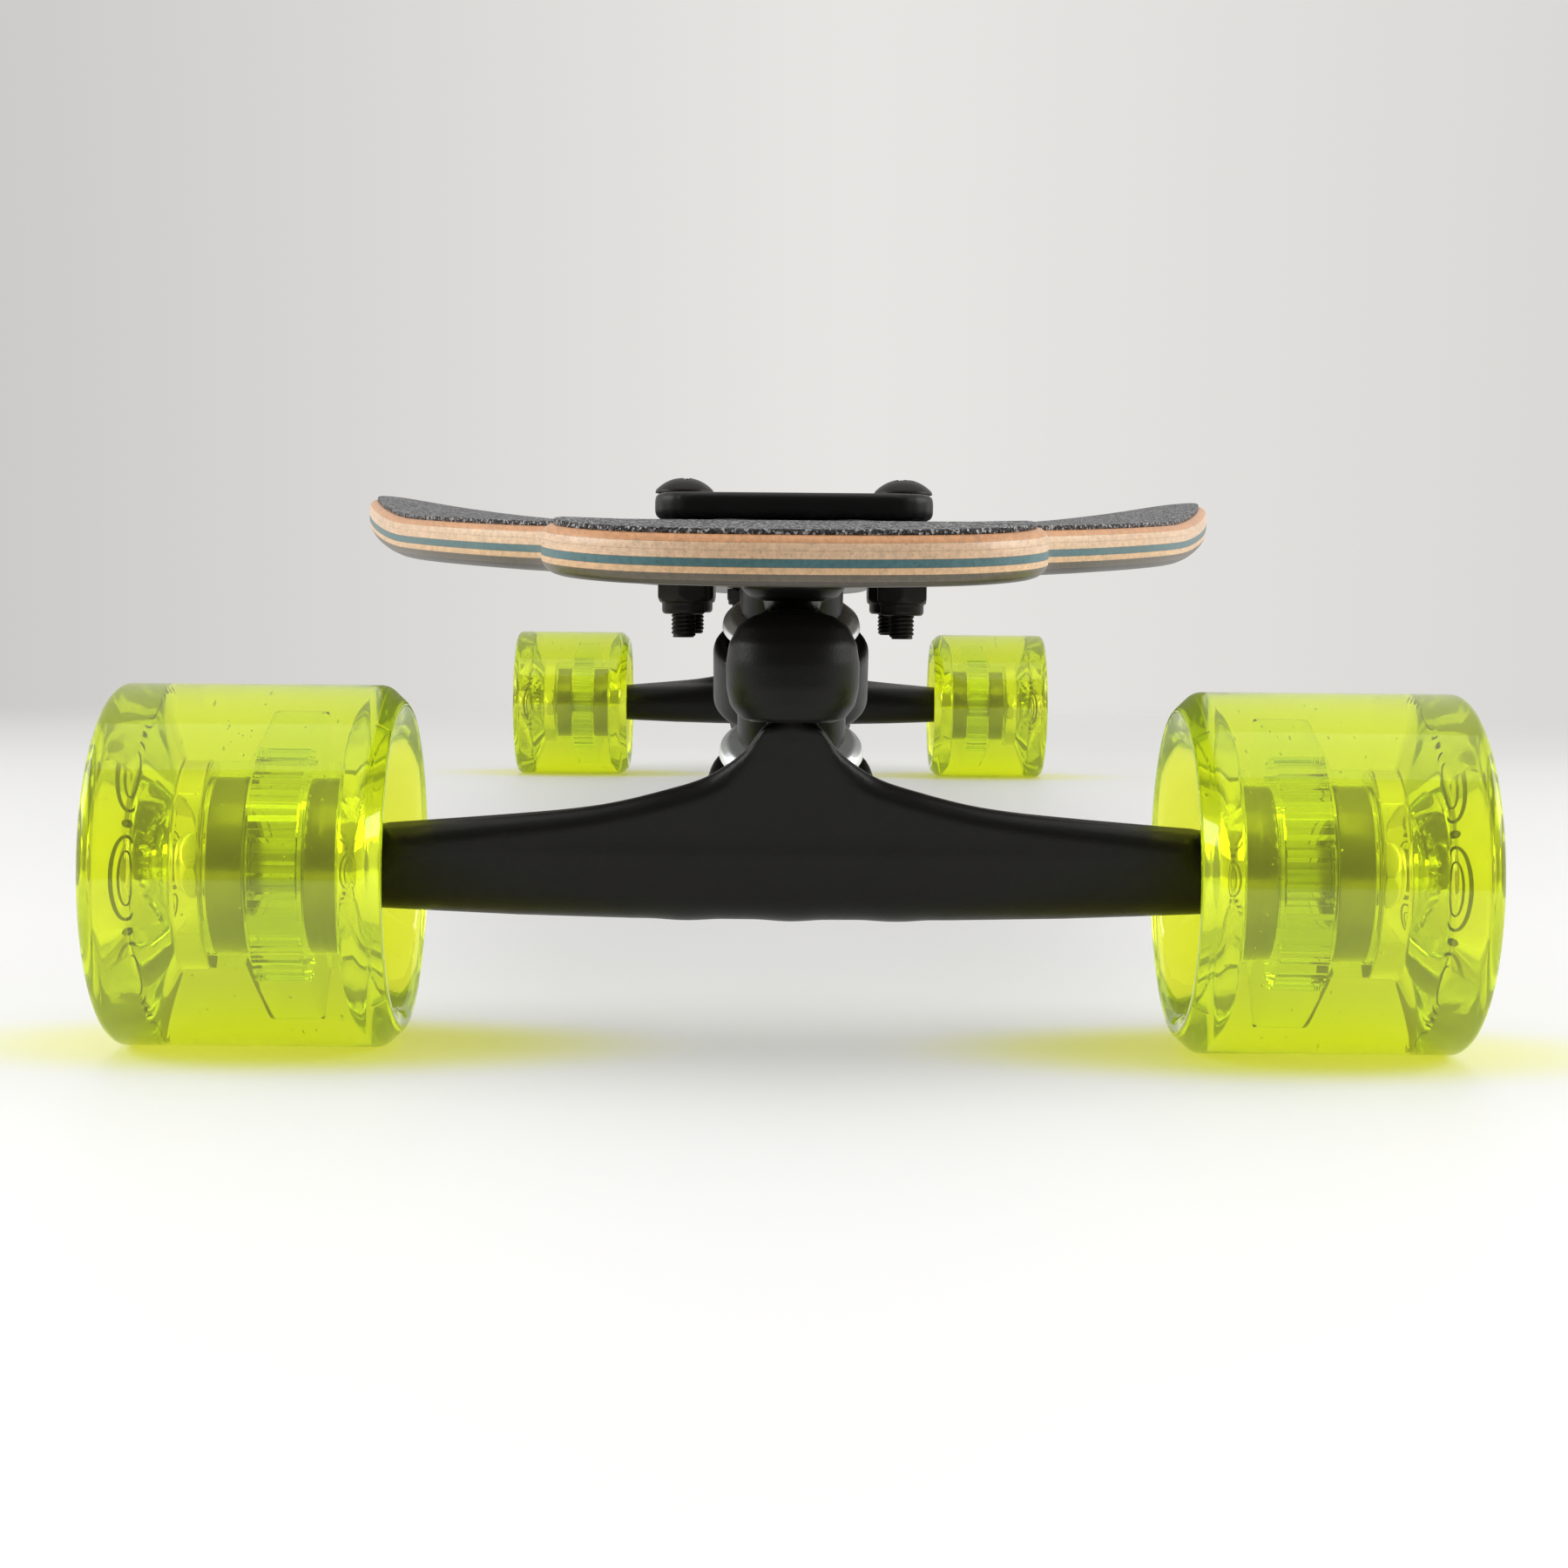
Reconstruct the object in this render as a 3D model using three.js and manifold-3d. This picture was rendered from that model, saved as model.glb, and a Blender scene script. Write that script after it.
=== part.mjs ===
// A drop-through longboard skateboard with two-stage (double kingpin) trucks.
// Millimetres, +Z up. The board lies along Y, and the origin is on the ground under its middle.
// The front truck is the one at -Y. The rear truck is the same truck, turned round.

import * as THREE from "three";
import { ConvexGeometry } from "three/addons/geometries/ConvexGeometry.js";
import { mergeVertices } from "three/addons/utils/BufferGeometryUtils.js";
import Module from "manifold-3d";

const wasm = await Module();
wasm.setup();

const at = (x, y, z) => new THREE.Vector3(x, y, z);
const UP = at(0, 0, 1);
const SIDEWAYS = at(1, 0, 0);
const GAP = 0.3; // between pieces that touch

// ---- Driving dimensions ------------------------------------------------------------------------

const WHEELBASE = 755;
const AXLE_Y = WHEELBASE / 2;

const DECK_LENGTH = 889;
const DECK_THICKNESS = 8.6;
const DECK_TOP = 99.2; // at the trucks
const CAMBER_RISE = 7.8; // from the trucks to the middle of the board
const CAMBER_SPAN = 300; // half length of the arched part
const NOSE_SLOPE = 0.075; // the ends slope down past the baseplates
const CONCAVE_RISE = 8;
const CONCAVE_FLAT = 26; // half width of the flat middle of the cross-section
const HALF_WIDTH = 114.5;
const GRIP_THICKNESS = 0.7;
const GRIP_INSET = 1.5;

const SLOT = { half: 15.5, outer: -15.2, inner: 64, corner: 10 };
const PLATE = { half: 25.75, outer: -18, inner: 72, corner: 8, thickness: 4.8 };
const BOLT = { side: 20.65, spacing: 54, radius: 2.38, hole: 2.7, headRadius: 5.45, headHeight: 2.7 };
const BOLT_END_Z = 78.5;
const BOLT_NUT = { radius: 5.3, bottom: 82.9 };

// Each stage's kingpin leans back, nut end towards the middle of the board.
const KINGPIN_LEAN = THREE.MathUtils.degToRad(25);
const KINGPIN = at(0, Math.sin(KINGPIN_LEAN), -Math.cos(KINGPIN_LEAN));
const ACROSS = at(0, Math.cos(KINGPIN_LEAN), Math.sin(KINGPIN_LEAN)); // square to it, towards the middle
const KINGPIN_RADIUS = 4.75;
const KINGPIN_END = 39; // from the seat, along the kingpin
const SEAT_RADIUS = 10.5;
const KINGPIN_NUT = { radius: 8.2, length: 8 };
const WASHER = { bore: 5.2, thickness: 1.5, wide: 14.2, narrow: 12 };
const BUSHING = { bore: 5.1, radius: 12.7, shown: 4.45 };
const RING = { radius: 16, thickness: 15, seatDepth: 5.5, seat: 13, bore: 7 };

const UPPER = { seat: at(0, 37.56, 83.25), pivot: at(0, -4, 94) };
const LOWER = { seat: at(0, 11.56, 58.95), pivot: at(0, -12, 70) };

const BALL_RADIUS = 5; // the rounded end of each pivot pin
const CUP = { wall: 1.5, length: 4 };
const BOSS = { radius: 9.75, bottom: 85.4 };
const NECK_RADIUS = 5.75;
const LOWER_NECK_RADIUS = 6.15;

const WHEEL_RADIUS = 34.5;
const AXLE_Z = WHEEL_RADIUS;
const WHEEL = { inner: 73.4, outer: 127.4, lip: 5.5 };
const CORE = { from: 83, to: 108, radius: 13, flange: 19.5, seat: 11.3, rib: 9.5 };
const BEARING = { bore: 4.25, radius: 11, width: 7, inner: 83.2, outer: 100.6 };
const AXLE = { radius: 3.95, half: 115.9, bore: 4.25 };
const BEAM_END = 81;

// ---- Shapes ------------------------------------------------------------------------------------

// A closed geometry as a manifold solid.
function solidOf(geometry) {
  const bare = geometry.index ? geometry.toNonIndexed() : geometry.clone();
  bare.deleteAttribute("normal");
  bare.deleteAttribute("uv");
  const merged = mergeVertices(bare, 1e-4);
  const index = merged.index.array;
  const triangles = [];
  for (let i = 0; i < index.length; i += 3) {
    const [a, b, c] = index.slice(i, i + 3);
    if (a !== b && b !== c && c !== a) triangles.push(a, b, c);
  }
  return new wasm.Manifold(
    new wasm.Mesh({
      numProp: 3,
      vertProperties: merged.attributes.position.array,
      triVerts: new Uint32Array(triangles),
    }),
  );
}

function geometryOf(solid) {
  const mesh = solid.getMesh();
  const geometry = new THREE.BufferGeometry();
  geometry.setAttribute("position", new THREE.BufferAttribute(new Float32Array(mesh.vertProperties), 3));
  geometry.setIndex(new THREE.BufferAttribute(mesh.triVerts, 1));
  geometry.computeVertexNormals();
  return geometry;
}

const joined = (solids) => solids.reduce((whole, solid) => whole.add(solid));
const cut = (solid, holes) => holes.reduce((rest, hole) => rest.subtract(hole), solid);

// A solid of revolution. Profile points are [radius, distance along the axis], and run up its outside.
function turned(profile, start, axis, sides = 16) {
  const points = profile.map(([radius, along]) => new THREE.Vector2(radius, along));
  const geometry = new THREE.LatheGeometry(points, sides);
  geometry.applyQuaternion(new THREE.Quaternion().setFromUnitVectors(at(0, 1, 0), axis));
  geometry.translate(start.x, start.y, start.z);
  return geometry;
}

const rodProfile = (radius, from, to) => [[0, from], [radius, from], [radius, to], [0, to]];

function ringProfile(bore, radius, from, to) {
  return [[bore, from], [radius, from], [radius, to], [bore, to], [bore, from]];
}

const rod = (radius, from, to, start, axis, sides = 16) =>
  solidOf(turned(rodProfile(radius, from, to), start, axis, sides));

// Points on an arc of a ball's profile: the angles are measured from its far pole, behind the start.
function ballArc(radius, fromDegrees, toDegrees, steps) {
  const points = [];
  for (let i = 0; i <= steps; i += 1) {
    const angle = THREE.MathUtils.degToRad(fromDegrees + ((toDegrees - fromDegrees) * i) / steps);
    const r = i === 0 && fromDegrees === 0 ? 0 : radius * Math.sin(angle);
    points.push([r, -radius * Math.cos(angle)]);
  }
  return points;
}

// Points on an ellipse whose two half axes are vectors, for a convex casting.
function ellipse(centre, halfA, halfB, sides = 12, fromDegrees = 0, toDegrees = 360) {
  const points = [];
  const whole = toDegrees - fromDegrees === 360;
  const count = whole ? sides : sides + 1;
  for (let i = 0; i < count; i += 1) {
    const angle = THREE.MathUtils.degToRad(fromDegrees + ((toDegrees - fromDegrees) * i) / sides);
    const point = centre.clone().addScaledVector(halfA, Math.cos(angle));
    points.push(point.addScaledVector(halfB, Math.sin(angle)));
  }
  return points;
}

function disc(centre, axis, radius, sides = 12) {
  const other = new THREE.Vector3().crossVectors(axis, SIDEWAYS);
  return ellipse(centre, SIDEWAYS.clone().multiplyScalar(radius), other.multiplyScalar(radius), sides);
}

const hull = (...pointLists) => solidOf(new ConvexGeometry(pointLists.flat()));

function extruded(shape, fromZ, toZ, curveSegments = 4) {
  const geometry = new THREE.ExtrudeGeometry(shape, {
    depth: toZ - fromZ,
    bevelEnabled: false,
    curveSegments,
  });
  return solidOf(geometry.translate(0, 0, fromZ));
}

function roundedRectangle(half, fromY, toY, corner) {
  const shape = new THREE.Shape();
  const x = half - corner;
  const low = fromY + corner;
  const high = toY - corner;
  shape.absarc(x, low, corner, -Math.PI / 2, 0);
  shape.absarc(x, high, corner, 0, Math.PI / 2);
  shape.absarc(-x, high, corner, Math.PI / 2, Math.PI);
  shape.absarc(-x, low, corner, Math.PI, 1.5 * Math.PI);
  return shape;
}

// ---- Materials and meshes ----------------------------------------------------------------------

const finish = (color, roughness, metalness) =>
  new THREE.MeshStandardMaterial({ color, roughness, metalness });

const MAPLE = finish(0xc9a06a, 0.5, 0);
const GRIT = finish(0x17181a, 0.95, 0);
const BLACK_CASTING = finish(0x121314, 0.42, 0.3);
const BLACK_STEEL = finish(0x1a1a1b, 0.4, 0.7);
const ZINC = finish(0xb9bcbf, 0.3, 1);
const BLACK_RUBBER = finish(0x1d1e20, 0.6, 0);
const CUP_PLASTIC = finish(0x2a2b2d, 0.6, 0);
const URETHANE = finish(0xc8e132, 0.15, 0);
const CORE_PLASTIC = finish(0xb4d22e, 0.25, 0);

function piece(name, shape, material) {
  const geometry = shape instanceof THREE.BufferGeometry ? shape : geometryOf(shape);
  const mesh = new THREE.Mesh(geometry, material);
  mesh.name = name;
  return mesh;
}

// ---- The deck and its grip tape ----------------------------------------------------------------

// Half the deck's width against the distance inboard of the axle, past the rounded nose.
const OUTLINE = [
  [-33, 44.5],
  [-8, 43.5],
  [12, 49],
  [30, 63],
  [60, 80],
  [100, 93],
  [170, 107],
  [215, 113.2],
  [270, HALF_WIDTH],
  [AXLE_Y, HALF_WIDTH],
];
const NOSE_TIP = 14; // half width of the blunt end
const MIDDLE_FLAT = 40; // half length of the middle facet
const NOSE = { from: OUTLINE[0][0], half: OUTLINE[0][1], power: 2.3 };
NOSE.length = DECK_LENGTH / 2 - AXLE_Y + NOSE.from;

function outlineSlope(i) {
  const before = OUTLINE[Math.max(i - 1, 0)];
  const after = OUTLINE[Math.min(i + 1, OUTLINE.length - 1)];
  return i === OUTLINE.length - 1 ? 0 : (after[1] - before[1]) / (after[0] - before[0]);
}

function halfWidth(inboard) {
  if (inboard < NOSE.from) {
    const t = Math.min((NOSE.from - inboard) / NOSE.length, 1);
    return NOSE.half * (1 - t ** NOSE.power) ** (1 / NOSE.power);
  }
  const found = OUTLINE.findIndex(([u]) => u > inboard);
  const i = found < 0 ? OUTLINE.length - 2 : found - 1;
  const [u0, w0] = OUTLINE[i];
  const [u1, w1] = OUTLINE[i + 1];
  const span = u1 - u0;
  const t = (inboard - u0) / span;
  const ease = t * t * (3 - 2 * t);
  const bend = (1 - t) * outlineSlope(i) - t * outlineSlope(i + 1);
  return w0 + (w1 - w0) * ease + span * t * (1 - t) * bend;
}

// Height of the deck's top face over the mounting zone's.
function deckRise(x, y) {
  const arch = CAMBER_RISE * (1 - (y / CAMBER_SPAN) ** 2);
  const camber = (arch + Math.hypot(arch, 0.5)) / 2;
  const past = Math.abs(y) - AXLE_Y + PLATE.outer - 2;
  const drop = past > 0 ? NOSE_SLOPE * (Math.hypot(past, 8) - 8) : 0;
  const rail = Math.max(0, Math.abs(x) - CONCAVE_FLAT) / (HALF_WIDTH - CONCAVE_FLAT);
  return camber - drop + CONCAVE_RISE * rail * rail;
}

// A sheet that follows the deck: bottom and top are heights over the deck's top face.
function deckSheet(bottom, top, inset) {
  const flat = CONCAVE_FLAT / HALF_WIDTH;
  const across = [-1, -0.75, -0.48, -flat, flat, 0.48, 0.75, 1];
  const noseRows = [0, 0.04, 0.16, 0.4, 0.7].map((part) => NOSE.from - NOSE.length * (1 - part));
  const inboards = [...noseRows, -33, -8, 8, 20, 32, 52, 78, 115, 170, 230, AXLE_Y - MIDDLE_FLAT];
  const rows = inboards.map((u) => [u - AXLE_Y, Math.max(halfWidth(u), NOSE_TIP)]);
  const stations = [...rows, ...rows.map(([y, w]) => [-y, w]).reverse()];
  const last = stations.length - 1;
  const width = across.length;
  const vertices = [];
  for (const height of [bottom, top]) {
    stations.forEach(([y, half], i) => {
      const shift = (i === 0 ? inset : 0) - (i === last ? inset : 0);
      for (const f of across) {
        const x = f * (half - inset);
        vertices.push(x, y + shift, DECK_TOP + deckRise(x, y + shift) + height);
      }
    });
  }
  const index = [];
  const quad = (a, b, c, d) => index.push(a, b, c, a, c, d);
  const layer = stations.length * width;
  const id = (k, i, j) => k * layer + i * width + j;
  for (let i = 0; i < last; i += 1) {
    for (let j = 0; j < width - 1; j += 1) {
      quad(id(1, i, j), id(1, i, j + 1), id(1, i + 1, j + 1), id(1, i + 1, j));
      quad(id(0, i, j), id(0, i + 1, j), id(0, i + 1, j + 1), id(0, i, j + 1));
    }
    quad(id(0, i, 0), id(1, i, 0), id(1, i + 1, 0), id(0, i + 1, 0));
    quad(id(0, i + 1, width - 1), id(1, i + 1, width - 1), id(1, i, width - 1), id(0, i, width - 1));
  }
  for (let j = 0; j < width - 1; j += 1) {
    quad(id(0, 0, j), id(0, 0, j + 1), id(1, 0, j + 1), id(1, 0, j));
    quad(id(0, last, j + 1), id(0, last, j), id(1, last, j), id(1, last, j + 1));
  }
  const geometry = new THREE.BufferGeometry();
  geometry.setAttribute("position", new THREE.BufferAttribute(new Float32Array(vertices), 3));
  geometry.setIndex(index);
  return solidOf(geometry);
}

// The slot and bolt holes of both trucks, cut right through.
function truckOpenings() {
  const from = DECK_TOP - 2 * DECK_THICKNESS;
  const to = DECK_TOP + DECK_THICKNESS;
  const one = extruded(roundedRectangle(SLOT.half, SLOT.outer, SLOT.inner, SLOT.corner), from, to, 2);
  const holes = [one, ...boltPlaces().map((p) => rod(BOLT.hole, from, to, at(p.x, p.y, 0), UP, 8))];
  return holes.flatMap((hole) => [
    hole.translate([0, -AXLE_Y, 0]),
    hole.rotate([0, 0, 180]).translate([0, AXLE_Y, 0]),
  ]);
}

// The bolts stand in two rows, one over the axle and one inboard of it.
function boltPlaces() {
  return [-1, 1].flatMap((side) => [0, BOLT.spacing].map((y) => at(side * BOLT.side, y, 0)));
}

// ---- One truck, in its own frame: x across, y towards the middle of the board, z over the ground --

// Distances along a kingpin from its seat, in the order in which the pieces are stacked.
const STACK = {};
STACK.topWasher = GAP;
STACK.topBushing = STACK.topWasher + WASHER.thickness + GAP;
STACK.ring = STACK.topBushing + BUSHING.shown;
STACK.ringEnd = STACK.ring + RING.thickness;
STACK.lowBushing = STACK.ringEnd - RING.seatDepth + GAP;
STACK.lowBushingEnd = STACK.ringEnd + BUSHING.shown;
STACK.lowWasher = STACK.lowBushingEnd + GAP;
STACK.nut = STACK.lowWasher + WASHER.thickness + GAP;

const BUSHING_LENGTH = STACK.lowBushingEnd - STACK.lowBushing;
const down = (stage, distance) => stage.seat.clone().addScaledVector(KINGPIN, distance);

for (const stage of [UPPER, LOWER]) {
  stage.centre = down(stage, STACK.ring + RING.thickness / 2);
  stage.axis = stage.centre.clone().sub(stage.pivot).normalize();
}
UPPER.pin = UPPER.axis;
LOWER.pin = at(0, 0.2, -0.98).normalize();

const CUP_BORE = BALL_RADIUS + GAP;
const CUP_RADIUS = CUP_BORE + CUP.wall;
const SOCKET_RADIUS = CUP_RADIUS + GAP;

// The plastic cup that holds a pivot pin: round behind, open along the pin, a little wider at its mouth.
function pivotCup(stage, flare) {
  const inside = ballArc(CUP_BORE, 90, 0, 3);
  return turned(
    [
      ...ballArc(CUP_RADIUS, 0, 90, 3),
      [CUP_RADIUS, CUP.length],
      [CUP_BORE + flare, CUP.length],
      ...inside,
    ],
    stage.pivot,
    stage.pin,
    10,
  );
}

// The hole that a cup sits in, with a straight mouth of the given length.
const socket = (stage, length) =>
  solidOf(turned([...ballArc(SOCKET_RADIUS, 0, 90, 3), [SOCKET_RADIUS, length], [0, length]],
    stage.pivot, stage.pin, 10));

// A pivot pin: a ball end, a slimmer shank where the cup needs room, and the neck it stands on.
function pivotPin(stage, shank, neck, neckFrom, neckTo) {
  const ball = ballArc(BALL_RADIUS, 0, 90, 3);
  return solidOf(turned([...ball, [shank, 2.4], [shank, neckFrom - 1.5], [neck, neckFrom], [neck, neckTo],
    [0, neckTo]], stage.pivot, stage.pin, 12));
}

// What is bored out of a ring for its bushings and kingpin, and the space that the stack needs past it.
function ringCuts(stage) {
  const spaceAbove = rod(WASHER.wide + 2, -6, STACK.ring, stage.seat, KINGPIN, 12);
  const spaceBelow = rod(14, STACK.ringEnd, STACK.ringEnd + 24, stage.seat, KINGPIN, 12);
  const topSeat = rod(RING.seat, STACK.ring - 1, STACK.ring + RING.seatDepth, stage.seat, KINGPIN);
  const lowSeat = rod(RING.seat, STACK.ringEnd - RING.seatDepth, STACK.ringEnd + 1, stage.seat, KINGPIN);
  const bore = rod(RING.bore, STACK.ring, STACK.ringEnd, stage.seat, KINGPIN, 10);
  return [spaceAbove, spaceBelow, topSeat, lowSeat, bore];
}

const ringBody = (stage) => rod(RING.radius, STACK.ring, STACK.ringEnd, stage.seat, KINGPIN, 12);

const HEAD = { base: -14, height: 6, radius: 8.25, pocket: 9 };
const PAD_RADIUS = 12.5; // of the seat's post where it holds the kingpin's head

function baseplate() {
  const bottom = DECK_TOP + 2 * GAP + GRIP_THICKNESS;
  const top = bottom + PLATE.thickness;
  const outline = roundedRectangle(PLATE.half, PLATE.outer, PLATE.inner, PLATE.corner);
  const plate = extruded(outline, bottom, top, 3);
  const bossTip = BOSS.bottom;
  const boss = solidOf(
    turned([[0, bossTip], [6, bossTip + 0.6], [8.8, bossTip + 3], [BOSS.radius, bossTip + 7],
      [BOSS.radius, bottom + 1], [0, bottom + 1]], at(0, UPPER.pivot.y, 0), UP),
  );
  const post = joined([
    rod(SEAT_RADIUS, -9, 0, UPPER.seat, KINGPIN),
    rod(PAD_RADIUS, -26, -8, UPPER.seat, KINGPIN),
  ]);
  const rib = hull(
    ...[0, 22].map((y) => [at(-5, y, 97.5), at(5, y, 97.5), at(-5, y, bottom + 1), at(5, y, bottom + 1)]),
  );
  const above = extruded(roundedRectangle(80, -80, 160, 1), top, top + 40, 1);
  return cut(joined([plate, boss, post, rib]), [
    above,
    socket(UPPER, 22),
    rod(KINGPIN_RADIUS + GAP, -30, 5, UPPER.seat, KINGPIN, 12),
    rod(HEAD.pocket, -45, HEAD.base + GAP, UPPER.seat, KINGPIN),
    ...boltPlaces().map((p) => rod(BOLT.hole, bottom - 5, top + 5, p, UP, 8)),
  ]);
}

// The upper kingpin is a bolt whose head sits in the baseplate. Its nut is joined to it.
function upperKingpin() {
  const nutEnd = STACK.nut + KINGPIN_NUT.length;
  const headEnd = HEAD.base - HEAD.height;
  return turned([[0, headEnd], [HEAD.radius, headEnd], [HEAD.radius, HEAD.base], [KINGPIN_RADIUS, HEAD.base],
    [KINGPIN_RADIUS, STACK.nut], [KINGPIN_NUT.radius, STACK.nut], [KINGPIN_NUT.radius, nutEnd],
    [KINGPIN_RADIUS, nutEnd], [KINGPIN_RADIUS, KINGPIN_END], [0, KINGPIN_END]],
  UPPER.seat, KINGPIN, 12);
}

const STUD_TOP = -15; // the lower kingpin is a stud pressed into the middle link

function lowerKingpin() {
  const nutEnd = STACK.nut + KINGPIN_NUT.length;
  return turned([[0, STUD_TOP], [KINGPIN_RADIUS, STUD_TOP], [KINGPIN_RADIUS, STACK.nut],
    [KINGPIN_NUT.radius, STACK.nut], [KINGPIN_NUT.radius, nutEnd], [KINGPIN_RADIUS, nutEnd],
    [KINGPIN_RADIUS, KINGPIN_END], [0, KINGPIN_END]], LOWER.seat, KINGPIN, 12);
}

// The middle link's block, round the lower pivot: flat below, bulging, and narrower at its top.
const BLOCK_Y = -11.5;
const BLOCK_RINGS = [
  { z: 63.5, x: 10.6, y: 9.8 },
  { z: 66.5, x: 12.1, y: 10.8 },
  { z: 75.5, x: 12.3, y: 11 },
  { z: 80, x: 10.5, y: 9 },
  { z: 82.8, x: 7, y: 5.5 },
];

function middleLink() {
  const block = BLOCK_RINGS.flatMap((r) => ellipse(at(0, BLOCK_Y, r.z), at(r.x, 0, 0), at(0, r.y, 0)));
  const shoulder = [72, 77, 81.5].flatMap((z, i) => disc(at(0, 12, z), UP, [8.2, 8.2, 5.5][i]));
  const postTop = disc(down(LOWER, -18), KINGPIN, SEAT_RADIUS);
  const postMiddle = disc(down(LOWER, -10), KINGPIN, SEAT_RADIUS);
  const backHalf = [0.2, 4].flatMap((along) => {
    const centre = down(UPPER, STACK.ring + along);
    const towards = ACROSS.clone().multiplyScalar(-RING.radius);
    return ellipse(centre, towards, SIDEWAYS.clone().multiplyScalar(RING.radius), 6, -50, 50);
  });
  const whole = joined([
    hull(block, postMiddle, postTop),
    hull(block, shoulder),
    hull(postMiddle, postTop, shoulder),
    hull(postMiddle, postTop, backHalf),
    rod(SEAT_RADIUS, -18, 0, LOWER.seat, KINGPIN),
    ringBody(UPPER),
    pivotPin(UPPER, BALL_RADIUS, NECK_RADIUS, 6.5, 19),
  ]);
  return cut(whole, [
    ...ringCuts(UPPER),
    socket(LOWER, 8),
    rod(KINGPIN_RADIUS + GAP, STUD_TOP - GAP, 5, LOWER.seat, KINGPIN, 12),
  ]);
}

// Half of the yoke's front outline, over the beam, from the neck outwards.
const YOKE = [[6.2, 61.8], [8.8, 57.4], [15.5, 52.8], [30, 48.2], [50, 45.4], [66, 42]];
const YOKE_THICKNESS = 10;
const YOKE_LEAN = -0.2; // of y on z

function yoke() {
  const shape = new THREE.Shape();
  const foot = AXLE_Z;
  const outer = YOKE[YOKE.length - 1];
  shape.moveTo(-outer[0], foot);
  shape.lineTo(outer[0], foot);
  for (const [x, z] of [...YOKE].reverse()) shape.lineTo(x, z);
  for (const [x, z] of YOKE) shape.lineTo(-x, z);
  const geometry = new THREE.ExtrudeGeometry(shape, {
    depth: YOKE_THICKNESS,
    bevelEnabled: false,
  });
  geometry.rotateX(Math.PI / 2);
  const middle = LOWER.pivot.y + YOKE_LEAN * -LOWER.pivot.z + YOKE_THICKNESS / 2;
  const lean = new THREE.Matrix4().set(1, 0, 0, 0, 0, 1, YOKE_LEAN, middle, 0, 0, 1, 0, 0, 0, 0, 1);
  return solidOf(geometry.applyMatrix4(lean));
}

// The beam's radius against the distance from the middle.
const BEAM = [[0, 9.7], [30, 9.4], [52, 8.8], [67, 8.3], [BEAM_END, 8]];

function hanger() {
  const half = BEAM.slice(1).map(([x, radius]) => [radius, x]);
  const other = half.map(([radius, x]) => [radius, -x]).reverse();
  const centre = at(0, 0, AXLE_Z);
  const profile = [[0, -BEAM_END], ...other, [BEAM[0][1], 0], ...half, [0, BEAM_END]];
  const beam = solidOf(turned(profile, centre, SIDEWAYS, 12));
  const arms = [-24, 24].flatMap((x) =>
    ellipse(at(x, 0, AXLE_Z), at(0, 9.3, 0), at(0, 0, 9.3)));
  const ring = [STACK.ring, STACK.ringEnd].flatMap((d) => disc(down(LOWER, d), KINGPIN, RING.radius));
  const whole = joined([
    beam,
    yoke(),
    hull(arms, ring),
    ringBody(LOWER),
    pivotPin(LOWER, 4.4, LOWER_NECK_RADIUS, 9, 20),
  ]);
  return cut(whole, [
    ...ringCuts(LOWER),
    rod(AXLE.bore, -100, 100, centre, SIDEWAYS),
  ]);
}

// The axle, with the washers, bearing spacers and nuts that are clamped on it.
function axle() {
  const half = [
    [AXLE.radius, BEAM_END + GAP],
    [5.8, BEAM_END + GAP],
    [5.8, BEARING.inner - GAP],
    [AXLE.radius, BEARING.inner - GAP],
    [AXLE.radius, BEARING.inner + BEARING.width + GAP],
    [5.3, BEARING.inner + BEARING.width + GAP],
    [5.3, BEARING.outer - GAP],
    [AXLE.radius, BEARING.outer - GAP],
    [AXLE.radius, BEARING.outer + BEARING.width + GAP],
    [6.9, BEARING.outer + BEARING.width + GAP],
    [6.9, 114.8],
    [AXLE.radius, 114.8],
    [AXLE.radius, AXLE.half],
    [0, AXLE.half],
  ];
  const other = half.map(([radius, x]) => [radius, -x]).reverse();
  return turned([...other, ...half], at(0, 0, AXLE_Z), SIDEWAYS, 10);
}

function bolt(place) {
  const plateTop = DECK_TOP + 2 * GAP + GRIP_THICKNESS + PLATE.thickness;
  const under = plateTop + GAP;
  const nutTop = DECK_TOP - DECK_THICKNESS - GAP;
  return turned([[0, BOLT_END_Z], [BOLT.radius, BOLT_END_Z], [BOLT.radius, BOLT_NUT.bottom],
    [BOLT_NUT.radius, BOLT_NUT.bottom], [BOLT_NUT.radius, nutTop], [BOLT.radius, nutTop],
    [BOLT.radius, under], [BOLT.headRadius, under], [4, under + 0.8 * BOLT.headHeight],
    [0, under + BOLT.headHeight]], place, UP, 8);
}

// ---- One wheel, along its axle: distances are from the board's middle plane ----------------------

function tyre(place, axis) {
  const rim = WHEEL_RADIUS - WHEEL.lip;
  const bore = CORE.radius + GAP;
  return turned([
    [bore, CORE.from],
    [20, CORE.from],
    [26.5, WHEEL.inner + 1.4],
    [rim, WHEEL.inner],
    [WHEEL_RADIUS, WHEEL.inner + WHEEL.lip],
    [WHEEL_RADIUS, WHEEL.outer - WHEEL.lip],
    [rim, WHEEL.outer],
    [24.5, WHEEL.outer - 1.8],
    [17, CORE.to + 8],
    [bore, CORE.to + 6],
    [bore, 100.8],
    [CORE.flange + GAP, 99.2],
    [CORE.flange + GAP, 91.3],
    [bore, 89.7],
    [bore, CORE.from],
  ], place, axis, 20);
}

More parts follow.
